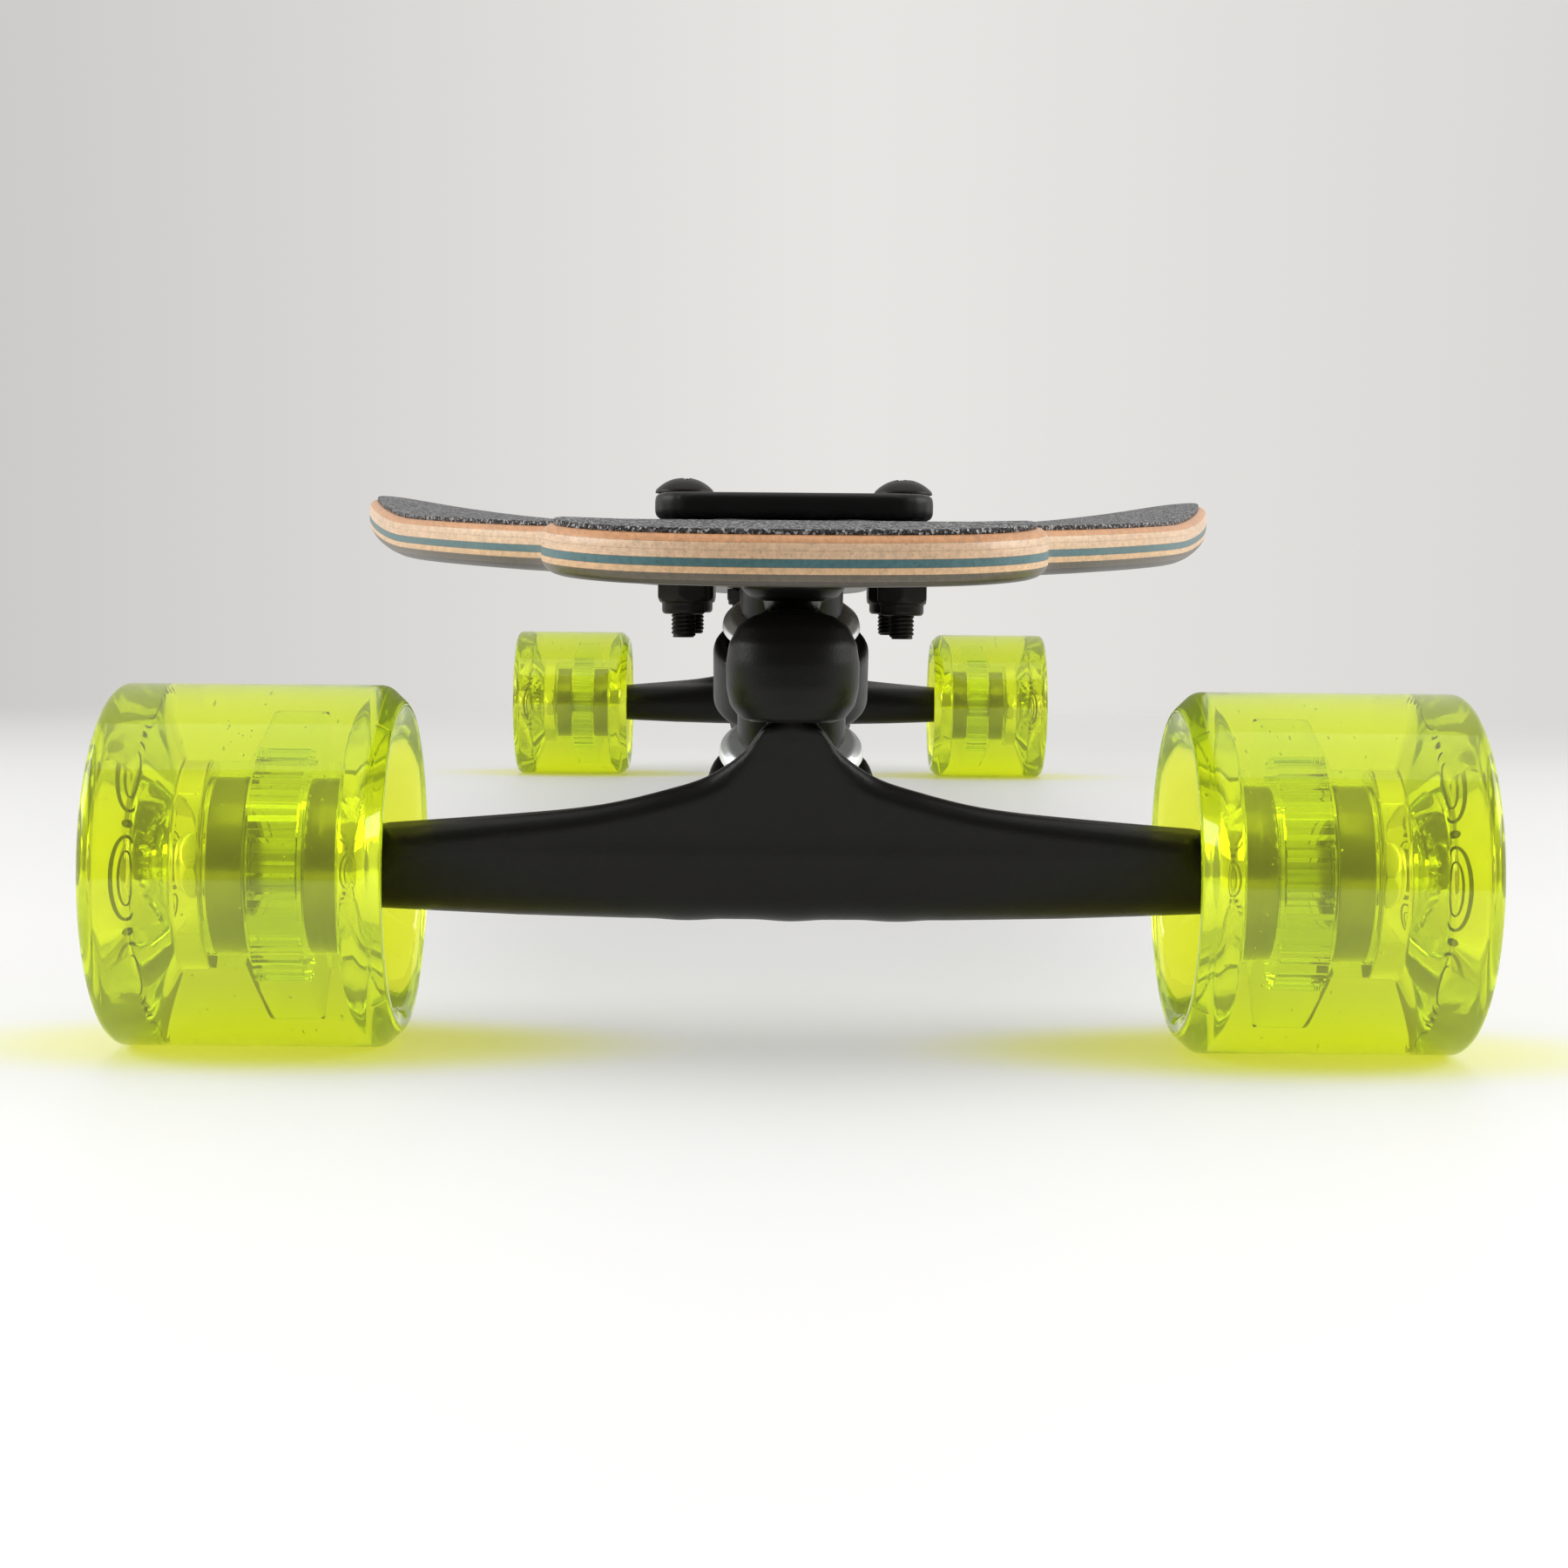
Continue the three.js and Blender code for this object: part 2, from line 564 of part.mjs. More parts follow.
function core(place, axis) {
  const shoulder = BEARING.inner + BEARING.width + GAP;
  return turned([
    [CORE.seat, CORE.from],
    [CORE.radius, CORE.from],
    [CORE.radius, 90],
    [CORE.flange, 91.6],
    [CORE.flange, 98.9],
    [CORE.radius, 100.5],
    [CORE.radius, CORE.to],
    [CORE.seat, CORE.to],
    [CORE.seat, BEARING.outer - GAP],
    [CORE.rib, BEARING.outer - GAP],
    [CORE.rib, shoulder],
    [CORE.seat, shoulder],
    [CORE.seat, CORE.from],
  ], place, axis, 16);
}

const bearing = (from, place, axis) =>
  turned(ringProfile(BEARING.bore, BEARING.radius, from, from + BEARING.width), place, axis, 12);

// ---- Assembly ----------------------------------------------------------------------------------

function stageStack(end, stage, stageName) {
  const ring = (bore, radius, from, length) =>
    turned(ringProfile(bore, radius, from, from + length), stage.seat, KINGPIN, 12);
  const name = (what) => `${end}_${stageName}_${what}`;
  const washer = (radius, from) => ring(WASHER.bore, radius, from, WASHER.thickness);
  const bushing = (from) => ring(BUSHING.bore, BUSHING.radius, from, BUSHING_LENGTH);
  return [
    piece(name("top_washer"), washer(WASHER.wide, STACK.topWasher), ZINC),
    piece(name("top_bushing"), bushing(STACK.topBushing), BLACK_RUBBER),
    piece(name("low_bushing"), bushing(STACK.lowBushing), BLACK_RUBBER),
    piece(name("low_washer"), washer(WASHER.narrow, STACK.lowWasher), ZINC),
  ];
}

// A truck and its wheels. Sides are named as seen from the nose: left is -X on both trucks.
function truck(end, turn) {
  const group = new THREE.Group();
  group.add(
    piece(`${end}_baseplate`, baseplate(), BLACK_CASTING),
    piece(`${end}_upper_pivot_cup`, pivotCup(UPPER, 0.3), CUP_PLASTIC),
    piece(`${end}_upper_kingpin`, upperKingpin(), BLACK_STEEL),
    ...stageStack(end, UPPER, "upper"),
    piece(`${end}_middle_link`, middleLink(), BLACK_CASTING),
    piece(`${end}_lower_pivot_cup`, pivotCup(LOWER, 0.9), CUP_PLASTIC),
    piece(`${end}_lower_kingpin`, lowerKingpin(), BLACK_STEEL),
    ...stageStack(end, LOWER, "lower"),
    piece(`${end}_hanger`, hanger(), BLACK_CASTING),
    piece(`${end}_axle`, axle(), ZINC),
  );
  boltPlaces().forEach((place, i) => group.add(piece(`${end}_bolt_${i + 1}`, bolt(place), BLACK_STEEL)));
  for (const side of [-1, 1]) {
    const name = `${end}_${side * Math.cos(turn) < 0 ? "left" : "right"}`;
    const place = at(0, 0, AXLE_Z);
    const axis = at(side, 0, 0);
    group.add(
      piece(`${name}_tyre`, tyre(place, axis), URETHANE),
      piece(`${name}_core`, core(place, axis), CORE_PLASTIC),
      piece(`${name}_inner_bearing`, bearing(BEARING.inner, place, axis), ZINC),
      piece(`${name}_outer_bearing`, bearing(BEARING.outer, place, axis), ZINC),
    );
  }
  group.rotation.z = turn;
  group.position.y = -AXLE_Y * Math.cos(turn);
  return group;
}

const skateboard = new THREE.Group();
const openings = truckOpenings();
skateboard.add(
  piece("deck", cut(deckSheet(-DECK_THICKNESS, 0, 0), openings), MAPLE),
  piece("grip_tape", cut(deckSheet(GAP, GAP + GRIP_THICKNESS, GRIP_INSET), openings), GRIT),
  truck("front", 0),
  truck("rear", Math.PI),
);

export default skateboard;
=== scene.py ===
"""A drop-through longboard on two-stage trucks, with translucent wheels, for Blender 4.5.

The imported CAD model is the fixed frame. Each truck is made once, in its own frame and in millimetres:
x across the board, y towards the middle of the board, z over the ground, with the axle over y = 0.
The rear truck is the same truck, turned half a turn.
"""

import math
import random

import bmesh
import bpy
import numpy as np
from mathutils import Matrix, Vector
from mathutils.geometry import delaunay_2d_cdt


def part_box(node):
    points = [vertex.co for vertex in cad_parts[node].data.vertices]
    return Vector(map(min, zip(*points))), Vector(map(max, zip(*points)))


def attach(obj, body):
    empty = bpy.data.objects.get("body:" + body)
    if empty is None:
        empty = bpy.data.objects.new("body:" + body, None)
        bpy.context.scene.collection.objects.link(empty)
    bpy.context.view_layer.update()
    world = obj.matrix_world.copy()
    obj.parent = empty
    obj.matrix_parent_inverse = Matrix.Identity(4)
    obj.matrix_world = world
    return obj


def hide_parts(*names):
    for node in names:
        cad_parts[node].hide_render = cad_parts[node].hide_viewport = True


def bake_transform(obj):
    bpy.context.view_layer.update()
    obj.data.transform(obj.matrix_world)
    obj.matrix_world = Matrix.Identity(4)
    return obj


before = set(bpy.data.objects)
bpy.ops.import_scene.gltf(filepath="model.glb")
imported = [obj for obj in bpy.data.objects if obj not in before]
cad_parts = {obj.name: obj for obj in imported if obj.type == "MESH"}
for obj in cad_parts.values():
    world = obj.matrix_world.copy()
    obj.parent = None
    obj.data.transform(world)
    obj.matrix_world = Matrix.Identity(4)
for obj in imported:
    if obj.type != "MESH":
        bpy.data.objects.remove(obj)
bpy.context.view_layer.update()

MM = 0.001
random.seed(7)


def middle(node):
    low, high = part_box(node)
    return (low + high) / 2


AXLE_Y = middle("rear_axle").y / MM
AXLE_Z = middle("rear_axle").z / MM
ENDS = {
    "front": Matrix.Translation((0, -AXLE_Y * MM, 0)),
    "rear": Matrix.Translation((0, AXLE_Y * MM, 0)) @ Matrix.Rotation(math.pi, 4, "Z"),
}


# ---- Camera, lights and floor --------------------------------------------------------------------

CAMERA = {"place": (-0.00365, -0.8575, 0.086), "lens": 58, "down": 4.2, "right": 0.27, "roll": 0.5}


def make_camera():
    data = bpy.data.cameras.new("camera")
    data.lens = CAMERA["lens"]
    data.sensor_width = 36
    data.clip_start = 0.01
    camera = bpy.data.objects.new("camera", data)
    bpy.context.scene.collection.objects.link(camera)
    turn = Matrix.Rotation(-math.radians(CAMERA["right"]), 4, "Z")
    tilt = Matrix.Rotation(math.radians(90 - CAMERA["down"]), 4, "X")
    roll = Matrix.Rotation(math.radians(CAMERA["roll"]), 4, "Z")
    camera.matrix_world = Matrix.Translation(CAMERA["place"]) @ turn @ tilt @ roll
    bpy.context.scene.camera = camera
    bpy.context.scene.view_settings.view_transform = "Standard"
    bpy.context.scene.cycles.max_bounces = 28
    bpy.context.scene.cycles.transmission_bounces = 28


def plug(tree, socket, value):
    """Gives a socket an output to follow, or a constant. A colour needs no alpha."""
    if isinstance(value, bpy.types.NodeSocket):
        tree.links.new(value, socket)
    else:
        socket.default_value = (*value, 1) if socket.type == "RGBA" else value


def feed(tree, made, **values):
    """Sets a node's properties and sockets by name."""
    for name, value in values.items():
        if hasattr(made, name):
            setattr(made, name, value)
        else:
            plug(tree, made.inputs[name.replace("_", " ")], value)


def node(tree, kind, *values, **named):
    """A shader node. Its sockets are given in order or by name, and its properties by name."""
    made = tree.nodes.new("ShaderNode" + kind)
    feed(tree, made, **named)
    for socket, value in zip(made.inputs, values):
        plug(tree, socket, value)
    return made


def ramp(tree, factor, stops, constant=False):
    """A colour ramp. Stops are (position, colour)."""
    made = node(tree, "ValToRGB", Fac=factor)
    made.color_ramp.interpolation = "CONSTANT" if constant else "LINEAR"
    elements = made.color_ramp.elements
    while len(elements) < len(stops):
        elements.new(0.5)
    for element, (position, colour) in zip(elements, stops):
        element.position = position
        element.color = (*colour, 1)
    return made.outputs["Color"]


def make_world():
    """A studio seen as a backdrop, bright at both sides and overhead and darker behind the camera."""
    world = bpy.data.worlds.new("studio")
    bpy.context.scene.world = world
    world.use_nodes = True
    tree = world.node_tree
    tree.nodes.clear()
    parts = node(tree, "SeparateXYZ", Vector=node(tree, "TexCoord").outputs["Generated"])

    def levels(axis, stops):
        """Brightness against one part of the direction, from -1 to 1."""
        spread = node(tree, "MapRange", parts.outputs[axis], -1.0, 1.0)
        tinted = [((p + 1) / 2, (v, v * 0.993, v * 0.98)) for p, v in stops]
        return ramp(tree, spread.outputs["Result"], tinted)
    across = levels("X", [(-0.8, 0.55), (-0.5, 0.31), (-0.3, 0.30), (0.03, 0.402), (0.3, 0.35), (0.5, 0.36),
                          (0.8, 0.55)])
    back = levels("Y", [(-0.9, 0.22), (-0.2, 0.6), (0.4, 1.0)])
    above = levels("Z", [(0.35, 0.0), (0.9, 0.13)])
    colour = mixed(tree, 1.0, mixed(tree, 1.0, across, back, "MULTIPLY"), above, "ADD")
    light = node(tree, "Background", colour, 2.0)
    node(tree, "OutputWorld", light.outputs[0])


def area_light(name, place, target, size, power):
    data = bpy.data.lights.new(name, "AREA")
    data.shape = "RECTANGLE"
    data.size, data.size_y = size
    data.energy = power
    light = bpy.data.objects.new(name, data)
    bpy.context.scene.collection.objects.link(light)
    light.location = place
    light.rotation_mode = "QUATERNION"
    light.rotation_quaternion = (Vector(target) - Vector(place)).to_track_quat("-Z", "Y")


def make_lights():
    area_light("top_softbox", (0, -0.5, 1.5), (0, -0.3, 0), (1.4, 1.0), 3)
    area_light("left_softbox", (-1.4, -0.4, 0.75), (0, -0.35, 0.03), (1.0, 0.8), 10)
    area_light("right_softbox", (1.4, -0.4, 0.75), (0, -0.35, 0.03), (1.0, 0.8), 10)


FLOOR = {"radius": 2.4, "fade_from": 0.62, "fade_to": 1.35}  # it is transparent past the fade


# ---- Shapes: points in millimetres, and faces ----------------------------------------------------


def strips(rows, closed=False):
    """Quads between loops of equally many points. Closed joins the last loop to the first too."""
    n = len(rows[0])
    faces = []
    for i in range(len(rows) if closed else len(rows) - 1):
        a, b = i * n, (i + 1) % len(rows) * n
        faces += [(a + j, a + (j + 1) % n, b + (j + 1) % n, b + j) for j in range(n)]
    return np.vstack(rows), faces


def turned(profile, sides=64, closed=False):
    """A surface of revolution round +Z. Profile points are (radius, height)."""
    angles = np.arange(sides) * 2 * math.pi / sides
    around = np.stack([np.cos(angles), np.sin(angles)], 1)
    rows = [np.column_stack([around * radius, np.full(sides, height)]) for radius, height in profile]
    return strips(rows, closed)


def rounded(profile, radius, closed=False, steps=4):
    """The profile with its corners rounded. Points on the axis keep theirs."""
    points = [np.array(p, float) for p in profile]
    out = []
    for i, p in enumerate(points):
        before, after = points[i - 1], points[(i + 1) % len(points)]
        end = not closed and i in (0, len(points) - 1)
        a, b = before - p, after - p
        la, lb = np.linalg.norm(a), np.linalg.norm(b)
        if end or la < 1e-6 or lb < 1e-6 or np.dot(a, b) / (la * lb) < -0.999:
            out.append(p)
            continue
        reach = min(radius, 0.48 * la, 0.48 * lb)
        start, stop = p + a / la * reach, p + b / lb * reach
        for t in np.linspace(0, 1, steps + 1):
            out.append((1 - t) ** 2 * start + 2 * t * (1 - t) * p + t * t * stop)
    return out


def threaded(radius, depth, pitch, low, high, sides=24):
    """A rod from low to high along +Z with a thread on it, closed at both ends."""
    count = max(int((high - low) / pitch * 8), 2)
    angles = np.arange(sides) * 2 * math.pi / sides
    rows = []
    for height in np.linspace(low, high, count + 1):
        phase = (height / pitch - angles / (2 * math.pi)) % 1
        end = min(1, (high - height) / (0.9 * pitch))
        r = radius - depth * (1 - end) - depth * np.abs(2 * phase - 1) ** 1.3
        rows.append(np.column_stack([r * np.cos(angles), r * np.sin(angles), np.full(sides, height)]))
    points, faces = strips(rows)
    faces.append(tuple(range(sides))[::-1])
    faces.append(tuple(count * sides + j for j in range(sides)))
    return points, faces


def merged(*shapes):
    points, faces, start = [], [], 0
    for shape_points, shape_faces in shapes:
        points.append(shape_points)
        faces += [tuple(i + start for i in face) for face in shape_faces]
        start += len(shape_points)
    return np.vstack(points), faces


def moved(shape, matrix):
    points, faces = shape
    m = np.array(matrix)
    return points @ m[:3, :3].T + m[:3, 3], faces


def along(start, direction):
    """The matrix that takes +Z to the direction, at the start."""
    turn = Vector(direction).to_track_quat("Z", "Y").to_matrix().to_4x4()
    return Matrix.Translation(start) @ turn


def make_mesh(name, shape, sharp=32):
    """A smooth mesh in metres, with its seams closed. Edges sharper than so many degrees stay sharp."""
    points, faces = shape
    mesh = bpy.data.meshes.new(name)
    mesh.from_pydata((np.asarray(points) * MM).tolist(), [], [tuple(int(i) for i in f) for f in faces])
    bm = bmesh.new()
    bm.from_mesh(mesh)
    bmesh.ops.remove_doubles(bm, verts=bm.verts, dist=2e-6)
    bmesh.ops.recalc_face_normals(bm, faces=bm.faces)
    bm.to_mesh(mesh)
    bm.free()
    mesh.shade_smooth()
    mesh.set_sharp_from_angle(angle=math.radians(sharp))
    return mesh


def put(name, mesh, material, slot, body, matrix=Matrix.Identity(4), replaced=()):
    """A piece of the object: placed, painted, and riding on its body."""
    if not mesh.materials:
        mesh.materials.append(material)
    piece = bpy.data.objects.new(name, mesh)
    bpy.context.scene.collection.objects.link(piece)
    piece.matrix_world = matrix
    if body:
        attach(piece, body)
    if replaced:
        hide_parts(*replaced)
    return piece


def put_shape(name, shape, sharp, *where, **more):
    """A piece with a mesh of its own."""
    return put(name, make_mesh(name, shape, sharp), *where, **more)


# ---- Solid fields: distances in millimetres, negative inside --------------------------------------


def joined(a, b, blend=0.0):
    """Two fields together, with a fillet of about the given size."""
    if not blend:
        return np.minimum(a, b)
    h = np.clip(0.5 + 0.5 * (b - a) / blend, 0, 1)
    return b + (a - b) * h - blend * h * (1 - h)


def cut(a, b, blend=0.0):
    """Field a without field b."""
    return -joined(-a, b, blend) if blend else np.maximum(a, -b)


def both(a, b, edge):
    """Where both fields are, with rounded edges."""
    a, b = a + edge, b + edge
    outside = np.hypot(np.maximum(a, 0), np.maximum(b, 0))
    return np.minimum(np.maximum(a, b), 0) + outside - edge


def rod(p, start, direction, low, high, radius, edge=0.0):
    """A round rod along a direction. Its radius may be a function of the distance along it."""
    d = Vector(direction).normalized()
    x, y, z = (p[i] - start[i] for i in range(3))
    t = x * d[0] + y * d[1] + z * d[2]
    r = np.sqrt(np.maximum(x * x + y * y + z * z - t * t, 0))
    size = radius(t) if callable(radius) else radius
    return both(r - size, np.abs(t - (low + high) / 2) - (high - low) / 2, edge)


def limb(p, a, b, radius_a, radius_b):
    """A round-ended limb from a to b, tapered."""
    a, b = Vector(a), Vector(b)
    d = b - a
    x, y, z = (p[i] - a[i] for i in range(3))
    t = np.clip((x * d[0] + y * d[1] + z * d[2]) / d.length_squared, 0, 1)
    away = (x - t * d[0]) ** 2 + (y - t * d[1]) ** 2 + (z - t * d[2]) ** 2
    return np.sqrt(away) - (radius_a + (radius_b - radius_a) * t)


def polygon(u, v, points):
    """The signed distance to a closed outline in a plane."""
    best = np.full(np.broadcast(u, v).shape, 1e9)
    inside = np.zeros(best.shape, bool)
    for i, (u1, v1) in enumerate(points):
        u0, v0 = points[i - 1]
        du, dv = u1 - u0, v1 - v0
        t = np.clip(((u - u0) * du + (v - v0) * dv) / (du * du + dv * dv), 0, 1)
        best = np.minimum(best, (u - u0 - t * du) ** 2 + (v - v0 - t * dv) ** 2)
        if dv:
            crosses = ((v0 > v) != (v1 > v)) & (u < u0 + (v - v0) * du / dv)
            inside ^= crosses
    return np.where(inside, -1, 1) * np.sqrt(best)


def flowing(points, steps=5):
    """More points, on a smooth curve through the given ones."""
    p = [np.array(q, float) for q in points]
    p = [2 * p[0] - p[1], *p, 2 * p[-1] - p[-2]]
    out = []
    for i in range(1, len(p) - 2):
        for t in np.arange(steps) / steps:
            a, b, c, d = p[i - 1 : i + 3]
            out.append(0.5 * (2 * b + (c - a) * t + (2 * a - 5 * b + 4 * c - d) * t * t
                              + (3 * b - a - 3 * c + d) * t**3))
    return [tuple(q) for q in [*out, p[-2]]]


def skin(field, low, high, step):
    """The closed surface of a field: one point in each cell that the surface crosses."""
    axes = [np.arange(a - 1.5 * step, b + 2.5 * step, step) for a, b in zip(low, high)]
    value = field(np.meshgrid(*axes, indexing="ij", sparse=True))
    cells = [n - 1 for n in value.shape]
    total, count, quads = np.zeros((np.prod(cells), 3)), np.zeros(np.prod(cells)), []
    for axis in range(3):
        first = value.take(range(cells[axis]), axis)
        second = value.take(range(1, cells[axis] + 1), axis)
        crossing = (first < 0) != (second < 0)
        index = np.argwhere(crossing)
        f, s = first[crossing], second[crossing]
        point = index.astype(float)
        point[:, axis] += f / (f - s)
        u, v = (axis + 1) % 3, (axis + 2) % 3
        corners = []
        for du, dv in ((0, 0), (-1, 0), (-1, -1), (0, -1)):
            cell = index.copy()
            cell[:, u] += du
            cell[:, v] += dv
            flat = np.ravel_multi_index(cell.T, cells)
            np.add.at(total, flat, point)
            np.add.at(count, flat, 1)
            corners.append(flat)
        quad = np.stack(corners, 1)
        quads.append(np.where((f < 0)[:, None], quad, quad[:, ::-1]))
    used = np.flatnonzero(count)
    number = np.zeros(len(count), int)
    number[used] = np.arange(len(used))
    points = total[used] / count[used, None] * step + [a[0] for a in axes]
    return points, number[np.vstack(quads)].tolist()


# ---- Materials ------------------------------------------------------------------------------------


def new_material(name, **values):
    """A Principled material. Returns the material, its tree and its shader."""
    material = bpy.data.materials.new(name)
    material.use_nodes = True
    tree = material.node_tree
    shader = tree.nodes["Principled BSDF"]
    feed(tree, shader, **values)
    return material, tree, shader


def noise(tree, scale, detail=4.0, stretch=(1, 1, 1), roughness=0.5):
    """Noise in the object's own space. Scale is in features per metre."""
    mapping = node(tree, "Mapping", node(tree, "TexCoord").outputs["Object"], Scale=stretch)
    made = node(tree, "TexNoise", mapping.outputs[0], Scale=scale, Detail=detail, Roughness=roughness)
    return made.outputs["Fac"]


def bump(tree, height, strength, distance):
    return node(tree, "Bump", Height=height, Strength=strength, Distance=distance).outputs[0]


def spread_value(tree, factor, low, high):
    return node(tree, "MapRange", factor, To_Min=low, To_Max=high).outputs["Result"]


def mixed(tree, factor, a, b, mode="MIX"):
    """Two colours mixed. Each is an output or a constant, and so is the factor."""
    made = node(tree, "Mix", factor, data_type="RGBA", blend_type=mode)
    plug(tree, made.inputs[6], a)
    plug(tree, made.inputs[7], b)
    return made.outputs[2]


def paint_material(name, colour, lighter, roughness, metallic=0.0):
    """Satin paint on a casting: faintly uneven, with fine orange peel."""
    material, tree, shader = new_material(name, Metallic=metallic, Specular_IOR_Level=0.22)
    feed(tree, shader,
         Base_Color=mixed(tree, noise(tree, 90, 6), colour, lighter),
         Roughness=spread_value(tree, noise(tree, 260, 5), roughness - 0.06, roughness + 0.08),
         Normal=bump(tree, noise(tree, 1900, 3), 0.12, 0.0004))
    return material


def zinc_material():
    """Bright zinc plate: cool, with a faint straw and blue bloom."""
    material, tree, shader = new_material("zinc_plate", Metallic=0.7)
    bloom = [(0.3, (0.82, 0.90, 0.92)), (0.5, (0.92, 0.94, 0.95)), (0.72, (0.90, 0.92, 0.86))]
    feed(tree, shader,
         Base_Color=ramp(tree, noise(tree, 160, 4), bloom),
         Roughness=spread_value(tree, noise(tree, 900, 6), 0.2, 0.42),
         Normal=bump(tree, noise(tree, 1400, 5), 0.1, 0.0002))
    return material


def steel_material(name, colour, low, high):
    material, tree, shader = new_material(name, Metallic=1.0)
    feed(tree, shader,
         Base_Color=mixed(tree, noise(tree, 300, 5), colour, tuple(c * 0.7 for c in colour)),
         Roughness=spread_value(tree, noise(tree, 700, 4), low, high))
    return material


def rubber_material(name, grey):
    material, tree, shader = new_material(name)
    feed(tree, shader,
         Base_Color=mixed(tree, noise(tree, 200, 4), (grey,) * 3, (grey * 1.8,) * 3),
         Roughness=spread_value(tree, noise(tree, 500, 4), 0.42, 0.6),
         Normal=bump(tree, noise(tree, 2600, 3), 0.2, 0.0003))
    return material


def glassy_material(name, roughness, ior, milk_and_glow, colour, density):
    """Clear cast plastic, a little milky, that tints the light going through it. Its milky share also glows
    faintly yellow-green, a painted light that lifts its shaded parts.
    """
    # Painted light: the milky share also sets a faint yellow-green emission, so the plastic glows though it
    # is no lamp
    material, tree, shader = new_material(
        name, Base_Color=(0.957, 0.983, 0.14), Transmission_Weight=1 - milk_and_glow, IOR=ior,
        Emission_Color=(0.62, 0.78, 0.06), Emission_Strength=milk_and_glow * 0.3)
    feed(tree, shader,
         Roughness=spread_value(tree, noise(tree, 140, 5), roughness * 0.4, roughness),
         Normal=bump(tree, noise(tree, 45, 2), 0.05, 0.002))
    tint = node(tree, "VolumeAbsorption", colour, density)
    feed(tree, tree.nodes["Material Output"], Volume=tint.outputs[0])
    return material


PLY_TOPS = (0.0, 1.2, 2.5, 3.85, 5.25, 6.4, 7.5)  # depth of each ply under the deck's top
PLY_SCALE = 10.0  # the depth at the far end of the plies' colour ramp


def wood_material():
    """Laminated veneers, by their depth under the deck's top face."""
    material, tree, shader = new_material("laminated_maple", Coat_Weight=0.18, Coat_Roughness=0.15)
    depth = node(tree, "Attribute", attribute_name="ply_depth").outputs["Fac"]
    wave = spread_value(tree, noise(tree, 14, 3, stretch=(1, 0.25, 1)), -0.09, 0.09)
    wavy = node(tree, "Math", depth, wave, operation="ADD").outputs[0]
    scaled = node(tree, "Math", wavy, PLY_SCALE, operation="DIVIDE").outputs[0]
    tan, cream, pale = (0.72, 0.36, 0.16), (0.84, 0.60, 0.40), (0.84, 0.57, 0.33)
    blue, charcoal, dark = (0.075, 0.19, 0.21), (0.135, 0.118, 0.085), (0.07, 0.062, 0.05)
    glue = (0.30, 0.19, 0.11)
    plies = (tan, cream, cream, blue, pale, charcoal, dark)
    stops = [(0.0, plies[0])]
    for i, colour in enumerate(plies[1:], 1):
        line = 0.0035 if i in (3, 4, 5) else 0.0018
        stops += [(PLY_TOPS[i] / PLY_SCALE - line, glue), (PLY_TOPS[i] / PLY_SCALE + line, colour)]
    layer = ramp(tree, scaled, stops, constant=True)
    fibres = noise(tree, 900, 6, stretch=(1, 0.05, 1), roughness=0.65)
    pores = noise(tree, 2300, 3, stretch=(1, 0.16, 1))
    bands = noise(tree, 46, 4, stretch=(1, 0.12, 1.6))
    grain = ramp(tree, fibres, [(0.3, (0.62, 0.62, 0.62)), (0.62, (1.1, 1.08, 1.05))])
    colour = mixed(tree, 0.62, layer, grain, "MULTIPLY")
    warm = ramp(tree, bands, [(0.35, (0.86, 0.74, 0.62)), (0.65, (1.06, 1.06, 1.08))])
    colour = mixed(tree, 0.55, colour, warm, "MULTIPLY")
    specks = ramp(tree, pores, [(0.34, (0.5, 0.5, 0.5)), (0.42, (1, 1, 1))])
    colour = mixed(tree, 0.4, colour, specks, "MULTIPLY")
    feed(tree, shader, Base_Color=colour, Roughness=spread_value(tree, fibres, 0.34, 0.52),
         Normal=bump(tree, fibres, 0.18, 0.0003))
    return material


def grit_material():
    """Silicon carbide grit: black, with some grains painted light grey as glints, and grains of mixed
    roughness that glint.
    """
    material, tree, shader = new_material("grip_grit")
    cells = node(tree, "TexVoronoi", Vector=node(tree, "TexCoord").outputs["Object"], Scale=2300.0)
    parts = node(tree, "SeparateColor", cells.outputs["Color"])
    # Dark grit tones, and a painted highlight: the lightest grains are painted light grey to stand in for
    # glints
    grit_greys_and_painted_glints = [(0.0, (0.012, 0.012, 0.014)), (0.5, (0.035, 0.035, 0.038)), (0.72, (0.12, 0.12, 0.125)),
             (0.86, (0.62, 0.62, 0.64))]
    feed(tree, shader,
         Base_Color=ramp(tree, parts.outputs[0], grit_greys_and_painted_glints),
         Roughness=spread_value(tree, parts.outputs[1], 0.25, 0.9),
         Normal=bump(tree, cells.outputs["Distance"], 0.9, 0.0009))
    return material


def ink_material():
    material, tree, shader = new_material("dark_green_ink", Roughness=0.45)
    feed(tree, shader, Base_Color=mixed(tree, noise(tree, 500, 4), (0.012, 0.03, 0.012), (0.03, 0.07, 0.02)))
    return material


# Colours, then roughness. For the clear plastics: roughness, index of refraction, milkiness and its painted
# glow, tint and its density. The hub and ribs lie inside the tyre, so their index is against the tyre's.
PAINT = paint_material("black_casting_paint", (0.0055, 0.0052, 0.005), (0.009, 0.0085, 0.008), 0.36)
BLACK_STEEL = paint_material("black_oxide_steel", (0.012, 0.011, 0.010), (0.03, 0.027, 0.024), 0.38, 0.55)
ZINC = zinc_material()
STEEL = steel_material("bearing_steel", (0.45, 0.46, 0.45), 0.14, 0.3)
SHIELD = rubber_material("bearing_shield", 0.012)
RUBBER = rubber_material("black_bushing", 0.008)
CUP_PLASTIC = rubber_material("cup_plastic", 0.018)
WOOD = wood_material()
GRIT = grit_material()
INK = ink_material()
URETHANE = glassy_material("clear_green_urethane", 0.04, 1.5, 0.13, (0.945, 0.974, 0.0), 85)
